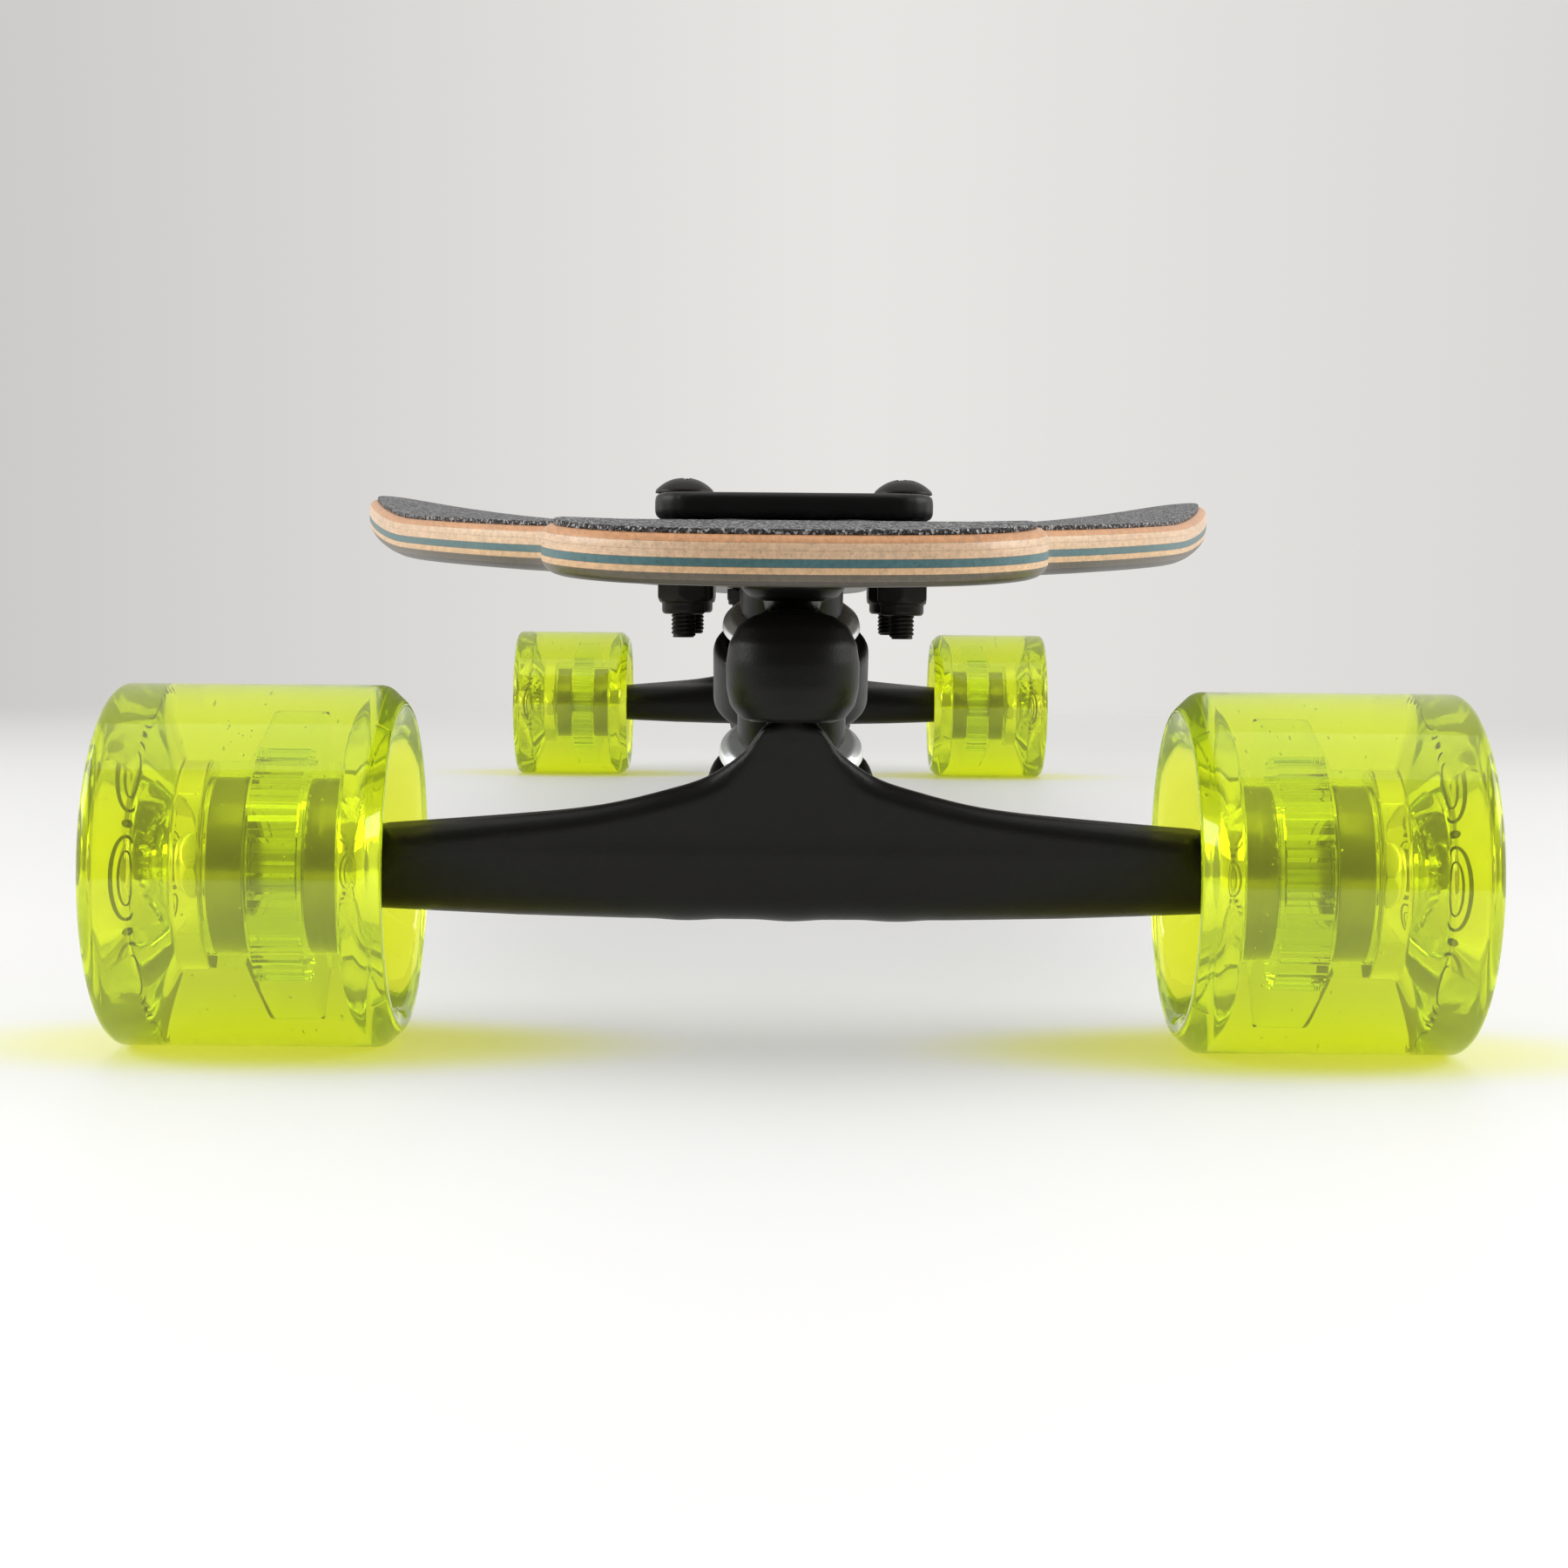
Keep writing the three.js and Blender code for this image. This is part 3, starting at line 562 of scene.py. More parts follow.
CORE_PLASTIC = glassy_material("clear_green_core", 0.06, 1.015, 0.0, (0.93, 0.97, 0.2), 15)
RIB_PLASTIC = glassy_material("clear_green_ribs", 0.05, 1.12, 0.0, (0.93, 0.97, 0.2), 15)


def make_floor():
    """A pale floor, dimmer far away, that is seen from above only. Round each wheel's place a yellow glow is
    painted into its emission, standing in for light coloured by the wheels.
    """
    bm = bmesh.new()
    bmesh.ops.create_circle(bm, cap_ends=True, segments=96, radius=FLOOR["radius"])
    mesh = bpy.data.meshes.new("floor")
    bm.to_mesh(mesh)
    bm.free()
    floor = bpy.data.objects.new("floor", mesh)
    bpy.context.scene.collection.objects.link(floor)
    material, tree, shader = new_material("studio_floor", Base_Color=(0.55, 0.55, 0.546), Roughness=0.55,
                                          Emission_Strength=0.40)
    place = node(tree, "TexCoord").outputs["Object"]

    def distance(centre, stretch, near, far):
        """From 0 to 1 with the distance from a place, the same in all four quarters of the floor."""
        spot = node(tree, "VectorMath", place, operation="ABSOLUTE").outputs[0]
        spot = node(tree, "VectorMath", spot, centre, operation="SUBTRACT").outputs[0]
        spot = node(tree, "VectorMath", spot, stretch, operation="MULTIPLY").outputs[0]
        length = node(tree, "VectorMath", spot, operation="LENGTH").outputs["Value"]
        return node(tree, "MapRange", length, near, far, interpolation_type="SMOOTHERSTEP").outputs["Result"]
    # Painted light: a yellow glow in the floor's emission round each wheel's resting place, standing in for
    # light tinted by the wheels
    painted_wheel_glow = distance((0.097, AXLE_Y * MM, 0), (1, 2.2, 1), 0.03, 0.09)
    colour = mixed(tree, painted_wheel_glow, (1.0, 1.0, 0.1), (1.0, 1.0, 0.99))
    away = node(tree, "SeparateXYZ", place).outputs["Y"]
    dimmer = node(tree, "MapRange", away, -0.2, 0.6, 1.0, 0.45).outputs["Result"]
    dimmed = node(tree, "VectorMath", colour, operation="SCALE", Scale=dimmer)
    feed(tree, shader, Emission_Color=dimmed.outputs[0])
    faded = distance((0, 0, 0), (1, 1, 1), FLOOR["fade_from"], FLOOR["fade_to"])
    below = node(tree, "NewGeometry").outputs["Backfacing"]
    gone = node(tree, "Math", faded, below, operation="MAXIMUM").outputs[0]
    clear = node(tree, "BsdfTransparent").outputs[0]
    seen = node(tree, "MixShader", gone, shader.outputs[0], clear)
    feed(tree, tree.nodes["Material Output"], Surface=seen.outputs[0])
    mesh.materials.append(material)


# ---- The deck and its grip tape -------------------------------------------------------------------

# Distances along the board are from the axle, towards its middle.
NOSE_FROM, NOSE_HALF, NOSE_POWER = -33, 44.5, 2.3  # the round nose: its start, half width and squareness
OUTLINE = [  # (distance, half width)
    (-33, 44.5), (-8, 43.5), (12, 49), (30, 63), (60, 80), (100, 93), (170, 107), (215, 113.2),
    (270, 114.5), (AXLE_Y, 114.5),
]
DECK = {"top": 99.2, "thick": 8.6, "camber": 7.8, "span": 300, "slope": 0.075, "rise": 8, "flat": 26,
        "spacing": 9}
DECK["half_length"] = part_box("deck")[1].y / MM
DECK["half_width"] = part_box("deck")[1].x / MM
SLOPE_FROM, SLOPE_BEND = 20, 8  # the ends slope down from this far past the axles, after a soft bend
GRIP = {"inset": 2.1, "thick": 0.95}
SLOT = {"half": 15.5, "outer": -15.2, "inner": 64, "corner": 10}
PLATE = {"half": 25.75, "outer": -18, "inner": 72, "corner": 8}
PLATE_BOTTOM, PLATE_TOP = 100.5, 105.3
BOLT_SIDE, BOLT_SPACING, BOLT_HOLE, BOLT_RADIUS, BOLT_NUT_TOP = 20.65, 54, 2.7, 2.38, 90.3


def half_width(inboard):
    """Half the deck's width against the distance inboard of the axle."""
    if inboard < NOSE_FROM:
        t = min((NOSE_FROM - inboard) / (DECK["half_length"] - AXLE_Y + NOSE_FROM), 1)
        return NOSE_HALF * (1 - t**NOSE_POWER) ** (1 / NOSE_POWER)
    i = min(max(k for k, (u, _) in enumerate(OUTLINE) if u <= inboard), len(OUTLINE) - 2)
    slopes = []
    for k in (i, i + 1):
        (u0, w0), (u1, w1) = OUTLINE[max(k - 1, 0)], OUTLINE[min(k + 1, len(OUTLINE) - 1)]
        slopes.append(0 if k == len(OUTLINE) - 1 else (w1 - w0) / (u1 - u0))
    (u0, w0), (u1, w1) = OUTLINE[i], OUTLINE[i + 1]
    t = (inboard - u0) / (u1 - u0)
    bend = (1 - t) * slopes[0] - t * slopes[1]
    return w0 + (w1 - w0) * t * t * (3 - 2 * t) + (u1 - u0) * t * (1 - t) * bend


def deck_rise(x, y):
    """Height of the deck's top face over the mounting zone's. Works on arrays."""
    arch = DECK["camber"] * (1 - (y / DECK["span"]) ** 2)
    camber = (arch + np.hypot(arch, 0.5)) / 2
    past = np.maximum(np.abs(y) - AXLE_Y - SLOPE_FROM, 0)
    drop = DECK["slope"] * (np.hypot(past, SLOPE_BEND) - SLOPE_BEND)
    rail = np.maximum(np.abs(x) - DECK["flat"], 0) / (DECK["half_width"] - DECK["flat"])
    return camber - drop + DECK["rise"] * rail**2


def deck_outline(step=3.0):
    """The deck's outline from above, evenly spaced, with its outward normals."""
    tip = DECK["half_length"] - AXLE_Y
    nose = [-tip + (tip + NOSE_FROM) * (1 - math.cos(t)) for t in np.linspace(0, math.pi / 2, 40)]
    sides = np.linspace(NOSE_FROM, AXLE_Y, 120)[1:]
    quarter = [(half_width(u), u - AXLE_Y) for u in [*nose, *sides]]
    right = quarter + [(x, -y) for x, y in quarter[-2::-1]]
    loop = np.array(right + [(-x, y) for x, y in right[-2:0:-1]])
    closed = np.vstack([loop, loop[:1]])
    lengths = np.concatenate([[0], np.cumsum(np.linalg.norm(np.diff(closed, axis=0), axis=1))])
    count = int(lengths[-1] / step)
    at = np.arange(count) * lengths[-1] / count
    points = np.column_stack([np.interp(at, lengths, closed[:, i]) for i in (0, 1)])
    ahead = np.roll(points, -1, 0) - np.roll(points, 1, 0)
    normals = np.column_stack([ahead[:, 1], -ahead[:, 0]]) / np.linalg.norm(ahead, axis=1)[:, None]
    return points, normals


def rounded_rectangle(half, outer, inner, corner, steps=8):
    points = []
    for side, y, start in ((1, inner, 0), (-1, inner, 90), (-1, outer, 180), (1, outer, 270)):
        x, y = side * (half - corner), y - corner if y == inner else y + corner
        for a in np.radians([start + 90 * i / steps for i in range(steps + 1)]):
            points.append((x + corner * math.cos(a), y + corner * math.sin(a)))
    return points


def circle(x, y, radius, count=20):
    return [(x + radius * math.cos(a), y + radius * math.sin(a))
            for a in np.arange(count) * 2 * math.pi / count]


def bolt_places():
    return [(side * BOLT_SIDE, y) for side in (-1, 1) for y in (0, BOLT_SPACING)]


def deck_holes():
    """The slot and bolt holes of both trucks, as loops in the board's plane."""
    one = [rounded_rectangle(**SLOT)]
    one += [circle(x, y, BOLT_HOLE) for x, y in bolt_places()]
    return [np.array([(side * x, side * (y - AXLE_Y)) for x, y in loop]) for loop in one for side in (1, -1)]


def inside_loop(point, loop):
    x, y = point
    a, b = loop, np.roll(loop, -1, 0)
    rise = np.where(b[:, 1] == a[:, 1], 1, b[:, 1] - a[:, 1])
    crosses = ((a[:, 1] > y) != (b[:, 1] > y)) & (x < a[:, 0] + (y - a[:, 1]) * (b[:, 0] - a[:, 0]) / rise)
    return np.count_nonzero(crosses) % 2 == 1


def sheet_face(border, holes, spacing):
    """Triangles that fill a border round its holes, with inner points for the curvature."""
    points = [tuple(p) for p in border]
    edges = [(i, (i + 1) % len(border)) for i in range(len(border))]
    for loop in holes:
        start = len(points)
        points += [tuple(p) for p in loop]
        edges += [(start + i, start + (i + 1) % len(loop)) for i in range(len(loop))]
    outline = np.array(points)
    low, high = border.min(0), border.max(0)
    for y in np.arange(low[1] + spacing, high[1], spacing):
        for x in np.arange(low[0] + spacing, high[0], spacing):
            clear = np.min(np.sum((outline - (x, y)) ** 2, 1)) > (0.45 * spacing) ** 2
            if clear and inside_loop((x, y), border):
                points.append((x, y))
    made = delaunay_2d_cdt([Vector(p) for p in points], edges, [], 0, 1e-5)
    flat = np.array([tuple(p) for p in made[0]])
    kept = []
    for face in made[2]:
        centre = flat[list(face)].mean(0)
        if inside_loop(centre, border) and not any(inside_loop(centre, loop) for loop in holes):
            kept.append(tuple(face))
    return flat, kept


def deck_sheet(edge):
    """A closed sheet that follows the deck. Its edge is (inset, depth under the deck's top) points."""
    def lowered(xy, depth):
        return np.column_stack([xy, DECK["top"] + deck_rise(xy[:, 0], xy[:, 1]) - depth])
    points, normals = deck_outline()
    holes = deck_holes()
    faces = (edge[0], edge[-1])
    shapes = []
    for inset, depth in faces:
        flat, triangles = sheet_face(points - normals * inset, holes, DECK["spacing"])
        shapes.append((lowered(flat, depth), triangles))
    shapes.append(strips([lowered(points - normals * inset, depth) for inset, depth in edge]))
    shapes += [strips([lowered(loop, depth) for _, depth in faces]) for loop in holes]
    return merged(*shapes)


def edge_profile(top_round, bottom_round, thick, steps=7):
    """Down a rounded edge: quarter ellipses above and below, given as (inset, drop)."""
    turns = [(math.sin(a), math.cos(a)) for a in np.radians([90 * i / steps for i in range(steps + 1)])]
    upper = [(top_round[0] * (1 - s), top_round[1] * (1 - c)) for s, c in turns]
    return upper + [(bottom_round[0] * (1 - c), thick - bottom_round[1] * (1 - s)) for s, c in turns]


def make_deck():
    edge = edge_profile((2.2, 2.4), (3.2, 3.0), DECK["thick"])
    mesh = make_mesh("laminated_deck", deck_sheet(edge), 40)
    co = np.zeros(len(mesh.vertices) * 3)
    mesh.vertices.foreach_get("co", co)
    x, y, z = co.reshape(-1, 3).T / MM
    depth = mesh.attributes.new("ply_depth", "FLOAT", "POINT")
    depth.data.foreach_set("value", (DECK["top"] + deck_rise(x, y) - z).astype(np.float32))
    put("laminated_deck", mesh, WOOD, "maple", "board", replaced=["deck"])
    edge = edge_profile((0.25, 0.3), (0.1, 0.1), GRIP["thick"], 2)
    edge = [(inset + GRIP["inset"], depth - GRIP["thick"]) for inset, depth in edge]
    put_shape("grip_sheet", deck_sheet(edge), 40, GRIT, "grit", "board", replaced=["grip_tape"])


# ---- One truck ------------------------------------------------------------------------------------

KINGPIN_LEAN = math.radians(25)
KINGPIN = Vector((0, math.sin(KINGPIN_LEAN), -math.cos(KINGPIN_LEAN)))
KINGPIN_RADIUS, KINGPIN_HOLE = 4.75, 5.1
SEAT_RADIUS = 10.5
# Where the stack's parts start, down the kingpin from its seat. The ring belongs to the casting below.
TOP_BUSHING, RING, LOW_BUSHING, RING_END, LOW_WASHER, NUT = 2.1, 6.55, 16.35, 21.55, 26.3, 28.1
BUSHING = {"length": 9.65, "bore": 5.1, "radius": 12.7, "waist": 0.5}
RING_RADIUS = 16
UPPER = {"name": "upper", "seat": Vector((0, 37.56, 83.25)), "pivot": Vector((0, -4, 94))}
LOWER = {"name": "lower", "seat": Vector((0, 11.56, 58.95)), "pivot": Vector((0, -12, 70))}
for stage in (UPPER, LOWER):
    stage["centre"] = stage["seat"] + KINGPIN * (RING + RING_END) / 2
UPPER["pin"] = (UPPER["centre"] - UPPER["pivot"]).normalized()
LOWER["pin"] = Vector((0, 0.2, -0.98)).normalized()
CUP = {"radius": 6.8, "bore": 5.3, "length": 4}


def down(stage, distance):
    return stage["seat"] + KINGPIN * distance


def without_stack(field, p, stage):
    """A casting's ring, bored for its bushings, with room for the washers and nut past it."""
    pockets = (
        (-6, RING, RING_RADIUS + 0.2, 0.8),
        (RING_END, RING_END + 26, 14.6, 0.8),
        (RING - 2, RING + 5.5, 13, 0.5),
        (RING_END - 5.5, RING_END + 2, 13, 0.5),
        (RING, RING_END, 7, 0.5),
    )
    for low, high, radius, blend in pockets:
        field = cut(field, rod(p, stage["seat"], KINGPIN, low, high, radius), blend)
    return field


def without_socket(field, p, stage, length):
    hole = rod(p, stage["pivot"], stage["pin"], 0, length, CUP["radius"] + 0.3)
    x, y, z = (p[i] - stage["pivot"][i] for i in range(3))
    return cut(field, joined(hole, np.sqrt(x * x + y * y + z * z) - CUP["radius"] - 0.3), 0.6)


def pivot_pin(p, stage, shank, neck, neck_from, neck_to):
    start, pin = stage["pivot"], stage["pin"]
    field = limb(p, start, start + pin * neck_from, 5, shank)
    return joined(field, rod(p, start, pin, neck_from, neck_to, neck, 1.2), 1.5)


def baseplate_field(p):
    x, y, z = p
    plate = polygon(x, y, rounded_rectangle(**PLATE, steps=5))
    thick = (PLATE_TOP - PLATE_BOTTOM) / 2
    field = both(plate, np.abs(z - PLATE_BOTTOM - thick) - thick, 1.3)
    profile = [(-9, 85.4), (5.4, 85.5), (8.3, 86.3), (9.8, 87.9), (10.2, 90.2), (10.2, 102), (-9, 102)]
    boss = polygon(np.hypot(x, y - UPPER["pivot"].y), z, profile)
    field = joined(field, boss, 1.5)
    post = joined(rod(p, UPPER["seat"], KINGPIN, -9, 0, SEAT_RADIUS, 1),
                  rod(p, UPPER["seat"], KINGPIN, -26, -8, 12.5, 1.5), 1.2)
    rib = both(np.abs(x) - 5, np.maximum(97.5 - z, np.abs(y - 11) - 13), 0.8)
    field = np.maximum(joined(field, joined(post, rib, 2), 1.5), z - PLATE_TOP)
    field = without_socket(field, p, UPPER, 22)
    field = cut(field, rod(p, UPPER["seat"], KINGPIN, -30, 6, KINGPIN_HOLE))
    field = cut(field, rod(p, UPPER["seat"], KINGPIN, -45, -13.7, 9), 0.6)
    for bolt_x, bolt_y in bolt_places():
        field = cut(field, np.hypot(x - bolt_x, y - bolt_y) - BOLT_HOLE, 0.3)
    return field


# The middle link's round block, as (radius, height).
BLOCK = [(-8, 62.9), (6.8, 62.9), (9.8, 63.9), (11.6, 66.3), (12.3, 69.5), (12.4, 74), (11.8, 77.8),
         (10.2, 80.9), (7.9, 82.9), (5.6, 84.2), (-8, 84.2)]


def link_field(p):
    x, y, z = p
    block = polygon(np.hypot(x, (y + 11.5) * 1.14), z, BLOCK)
    waist = joined(limb(p, (0, -6, 74), (0, 10, 75.5), 9.5, 7.6), limb(p, (0, -5, 79), (0, 12, 79), 5, 5), 3)
    post = limb(p, down(LOWER, -18), down(LOWER, -9), SEAT_RADIUS - 0.5, SEAT_RADIUS - 0.8)
    post = joined(post, rod(p, LOWER["seat"], KINGPIN, -12, 0, SEAT_RADIUS, 1), 1.0)
    arm = limb(p, (0, 9, 72), UPPER["centre"] + Vector((0, -9, -1)), 9, 8)
    ring = rod(p, UPPER["seat"], KINGPIN, RING, RING_END, RING_RADIUS, 2.2)
    field = joined(joined(block, waist, 3), post, 3)
    field = joined(joined(field, arm, 3), ring, 3)
    scallop = rod(p, (0, UPPER["pivot"].y, 81.8), (0, 0, 1), 0, 12, 11.8)
    field = cut(field, scallop, 0.8)
    pin = pivot_pin(p, UPPER, 5, 5.75, 6.5, 19)
    field = joined(field, pin, 1.6)
    field = without_stack(field, p, UPPER)
    field = without_socket(field, p, LOWER, 8)
    return cut(field, rod(p, LOWER["seat"], KINGPIN, -15, 4, KINGPIN_HOLE))


# The hanger's top edge from the front, as (half width, height).
YOKE = [(3.0, 62.7), (5.3, 62.1), (6.5, 60.6), (8.8, 57.5), (13.0, 54.3), (17.3, 52.0), (23.7, 50.0),
        (32.2, 47.8), (40.7, 46.3), (51.4, 45.0), (66.3, 43.4), (76, 42.2)]
YOKE_LEAN = -0.2
BEAM_END = 81
AXLE_HOLE, AXLE_RADIUS = 4.25, 3.95


def hanger_field(p):
    x, y, z = p
    side = np.abs(x)
    size = np.interp(side, [0, 30, 52, 67, BEAM_END], [9.7, 9.6, 9.1, 8.5, 7.9])
    beam = both(np.hypot(y, z - AXLE_Z) - size, side - BEAM_END, 0.8)
    top = flowing(YOKE)
    outline = [(-20, AXLE_Z), (76, AXLE_Z), *top[::-1], (-20, top[0][1])]
    plane = np.hypot(1, YOKE_LEAN)
    centre = LOWER["pivot"].y + YOKE_LEAN * (z - LOWER["pivot"].z)
    edge = np.interp(z, [52, 60], [4, 1])
    web = both(polygon(side, z, outline), np.abs(y - centre) / plane - 5, edge)
    field = joined(beam, web, 5)
    ring = rod(p, LOWER["seat"], KINGPIN, RING, RING_END, RING_RADIUS, 2.2)
    for sign in (-1, 1):
        ring_side = LOWER["centre"] + Vector((9 * sign, -2, 0))
        field = joined(field, limb(p, (20 * sign, 0, AXLE_Z + 0.5), ring_side, 8.4, 7), 4)
    field = joined(field, limb(p, (0, 0, AXLE_Z), LOWER["centre"] + Vector((0, -6, 0)), 8, 7.5), 4)
    field = joined(field, ring, 3)
    field = joined(field, pivot_pin(p, LOWER, 4.4, 4.8, 9, 18), 1.4)
    field = without_stack(field, p, LOWER)
    return cut(field, rod(p, (0, 0, AXLE_Z), (1, 0, 0), -100, 100, AXLE_HOLE))


def hexagon(p, flat, low, high, chamfer):
    """A six-sided prism along z, with both ends chamfered."""
    x, y, z = p
    prism = np.maximum(np.abs(y), np.abs(x) * math.cos(math.pi / 6) + np.abs(y) * 0.5) - flat
    past = np.abs(z - (low + high) / 2) - (high - low) / 2
    field = both(prism, past, 0.15)
    cone = (np.hypot(x, y) - flat * 1.155 + chamfer) * 0.8 + (past + chamfer) * 0.6
    return np.maximum(field, cone - 0.55 * chamfer)


def locking_nut(corner, hex_height, height, bore):
    """A hex nut with a round collar that holds its nylon ring. It stands on z = 0, collar end up."""
    flat = corner * 0.866

    def field(p):
        x, y, _ = p
        collar = rod(p, (0, 0, 0), (0, 0, 1), hex_height - 1, height, flat * 0.9, flat * 0.16)
        whole = joined(hexagon(p, flat, 0, hex_height, 0.14 * corner), collar, 0.25)
        return cut(whole, np.hypot(x, y) - bore, 0.2)
    return skin(field, (-corner, -corner, 0), (corner, corner, height), corner / 22)


def screw_head(radius, height):
    """A domed screw head with a cross recess, standing on z = 0."""
    def field(p):
        x, y, z = p
        ball = (radius**2 + (height - 0.5) ** 2) / (2 * (height - 0.5))
        dome = np.sqrt(x * x + y * y + (z - height + ball) ** 2) - ball
        head = both(dome, np.maximum(np.hypot(x, y) - radius, -z), 0.2)
        wing = 0.62 - 0.22 * (height - z)
        arms = np.minimum(np.maximum(np.abs(x) - wing, np.abs(y) - 2.7 + 0.5 * (height - z)),
                          np.maximum(np.abs(y) - wing, np.abs(x) - 2.7 + 0.5 * (height - z)))
        return cut(head, np.maximum(arms, height - 1.9 - z), 0.12)
    return skin(field, (-radius, -radius, 0), (radius, radius, height), 0.2)


def bushing_profile(low, high):
    """A turned rubber bushing, a little slimmer at its waist."""
    bore, radius, waist = BUSHING["bore"], BUSHING["radius"], BUSHING["waist"]
    middle_height = (low + high) / 2
    outer = [(radius - 0.2, low), (radius, low + 1), (radius - waist, middle_height), (radius, high - 1),
             (radius - 0.2, high)]
    return rounded([(bore, low), *outer, (bore, high)], 0.8, closed=True)


WASHER_CUP = rounded([(5.2, 0.3), (9.4, 0.3), (12.4, 0.7), (13.9, 2.0), (14.2, 3.5), (13.2, 3.6),
                      (12.95, 2.9), (12.0, 1.95), (9.4, 1.8), (5.2, 1.8)], 0.5, closed=True)
WASHER_FLAT = rounded([(5.2, LOW_WASHER), (11, LOW_WASHER), (12, LOW_WASHER + 0.5), (12, LOW_WASHER + 1.5),
                       (5.2, LOW_WASHER + 1.5)], 0.4, closed=True)
QUARTER = [(math.sin(a), math.cos(a)) for a in np.linspace(0, math.pi / 2, 9)]
CUP_PROFILE = [(CUP["radius"] * s, -CUP["radius"] * c) for s, c in QUARTER]
CUP_PROFILE += [(CUP["radius"], CUP["length"]), (CUP["bore"] + 0.4, CUP["length"])]
CUP_PROFILE += [(CUP["bore"] * s, -CUP["bore"] * c) for s, c in QUARTER[::-1]]


def stage_pieces(end, stage, place, above, below):
    """The kingpin's washers, bushings and nut, and the pivot cup, of one stage."""
    name = f"{end}_{stage['name']}_"
    stack = along(stage["seat"], KINGPIN)

    def ring(what, profile, material, slot, body, replaced):
        shape = moved(turned(profile, 64, True), stack)
        return put_shape(name + what, shape, 32, material, slot, body, place, [name + replaced])
    ring("cup_washer", WASHER_CUP, ZINC, "zinc", above, "top_washer")
    ring("flat_washer", WASHER_FLAT, ZINC, "zinc", above, "low_washer")
    for what, low, start, stop, reach in (("top", TOP_BUSHING, above, below, (0.05, 0.5)),
                                          ("low", LOW_BUSHING, below, above, (0.5, 0.95))):
        profile = bushing_profile(low, low + BUSHING["length"])
        piece = ring(what + "_rubber", profile, RUBBER, "black_rubber", None, what + "_bushing")
        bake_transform(piece)
    cup = moved(turned(CUP_PROFILE, 48), along(stage["pivot"], stage["pin"]))
    put_shape(name + "cup_liner", cup, 32, CUP_PLASTIC, "cup_plastic", above, place, [name + "pivot_cup"])
    nut = moved(KINGPIN_NUT, stack @ Matrix.Translation((0, 0, NUT)))
    put_shape(name + "lock_nut", nut, 24, BLACK_STEEL, "black_steel", above, place)
    low, thread_from, high = -15, 24, 39
    shaft = turned([(0, low), (KINGPIN_RADIUS, low), (KINGPIN_RADIUS, thread_from), (0, thread_from)], 40)
    parts = [shaft, threaded(KINGPIN_RADIUS, 0.5, 1.25, thread_from, high)]
    if stage is UPPER:
        parts.append((HEX_HEAD[0] + (0, 0, -20), HEX_HEAD[1]))
    bolt = moved(merged(*parts), stack)
    put_shape(name + "king_bolt", bolt, 24, BLACK_STEEL, "black_steel", above, place, [name + "kingpin"])


def bolt_pieces(end, place):
    """The mounting screws, from their domed heads to their locking nuts."""
    over = Matrix.Rotation(math.pi, 4, "X")
    head_z = PLATE_TOP + 0.3
    shaft = turned([(0, -8), (BOLT_RADIUS, -8), (BOLT_RADIUS, 0.2), (0, 0.2)], 24)
    thread = threaded(BOLT_RADIUS, 0.32, 0.8, 0, 19.3)
    thread = moved(thread, Matrix.Translation((0, 0, head_z - 7.8)) @ over)
    head = (SCREW_HEAD[0] + (0, 0, head_z), SCREW_HEAD[1])
    whole = merged(head, (shaft[0] + (0, 0, head_z), shaft[1]), thread)
    screw = make_mesh(end + "_screw", whole, 26)
    nut = make_mesh(end + "_screw_nut", moved(BOLT_NUT, Matrix.Translation((0, 0, BOLT_NUT_TOP)) @ over), 26)
    for i, (x, y) in enumerate(bolt_places()):
        spot = place @ Matrix.Translation((x * MM, y * MM, 0)) @ Matrix.Rotation(0.4 + 1.1 * i, 4, "Z")
        put(f"{end}_screw_{i + 1}", screw, BLACK_STEEL, "black_steel", "board", spot, [f"{end}_bolt_{i + 1}"])
        put(f"{end}_screw_nut_{i + 1}", nut, BLACK_STEEL, "black_steel", "board", spot)


# ---- Wheels and axles: heights along +Z are distances from the board's middle plane -----------------

WHEEL = {"radius": 34.5, "outer": 127.4}
# The bore is a little smaller than the bearings, so that they show through the plastic without an air gap.
TYRE_PROFILE = [(11.15, 83.1), (20, 83.1), (24, 78.4), (27.4, 74.6), (29.8, 73.4), (31.2, 73.4),
                (WHEEL["radius"], 76.8), (WHEEL["radius"], 126), (33.2, WHEEL["outer"]),
                (29.6, WHEEL["outer"]), (27.2, 125.6), (22, 119.4), (17, 116), (14.6, 114.4), (13.3, 113.6),
                (13.3, 108.2), (11.15, 108.2), (11.15, 107.4), (10.8, 107.2), (10.8, 83.8), (11.15, 83.6)]
HUB_PROFILE = [(11.3, 83), (13, 83), (13, 86.4), (13.2, 86.5), (19.4, 88.8), (19.4, 98.2), (13.2, 101.4),
               (13, 101.5), (13, 108), (11.3, 108)]
BEARINGS = {"inner": 83.2, "outer": 100.6}  # where each starts


def toothed_sleeve(low, high, count):
    """A sleeve round the hub whose outer side steps in and out."""
    inner, outer, depth = 11.5, 14.5, 0.07
    points, faces = turned([(inner, low), (outer, low), (outer, high), (inner, high)], count * 12, True)
    angle = np.arctan2(points[:, 1], points[:, 0])
    share = 1 - depth * (np.clip(2.2 * np.sin(count * angle), -1, 1) * 0.5 + 0.5)
    share = np.where(np.hypot(points[:, 0], points[:, 1]) > (inner + outer) / 2, share, 1)
    return points * np.column_stack([share, share, np.ones(len(share))]), faces


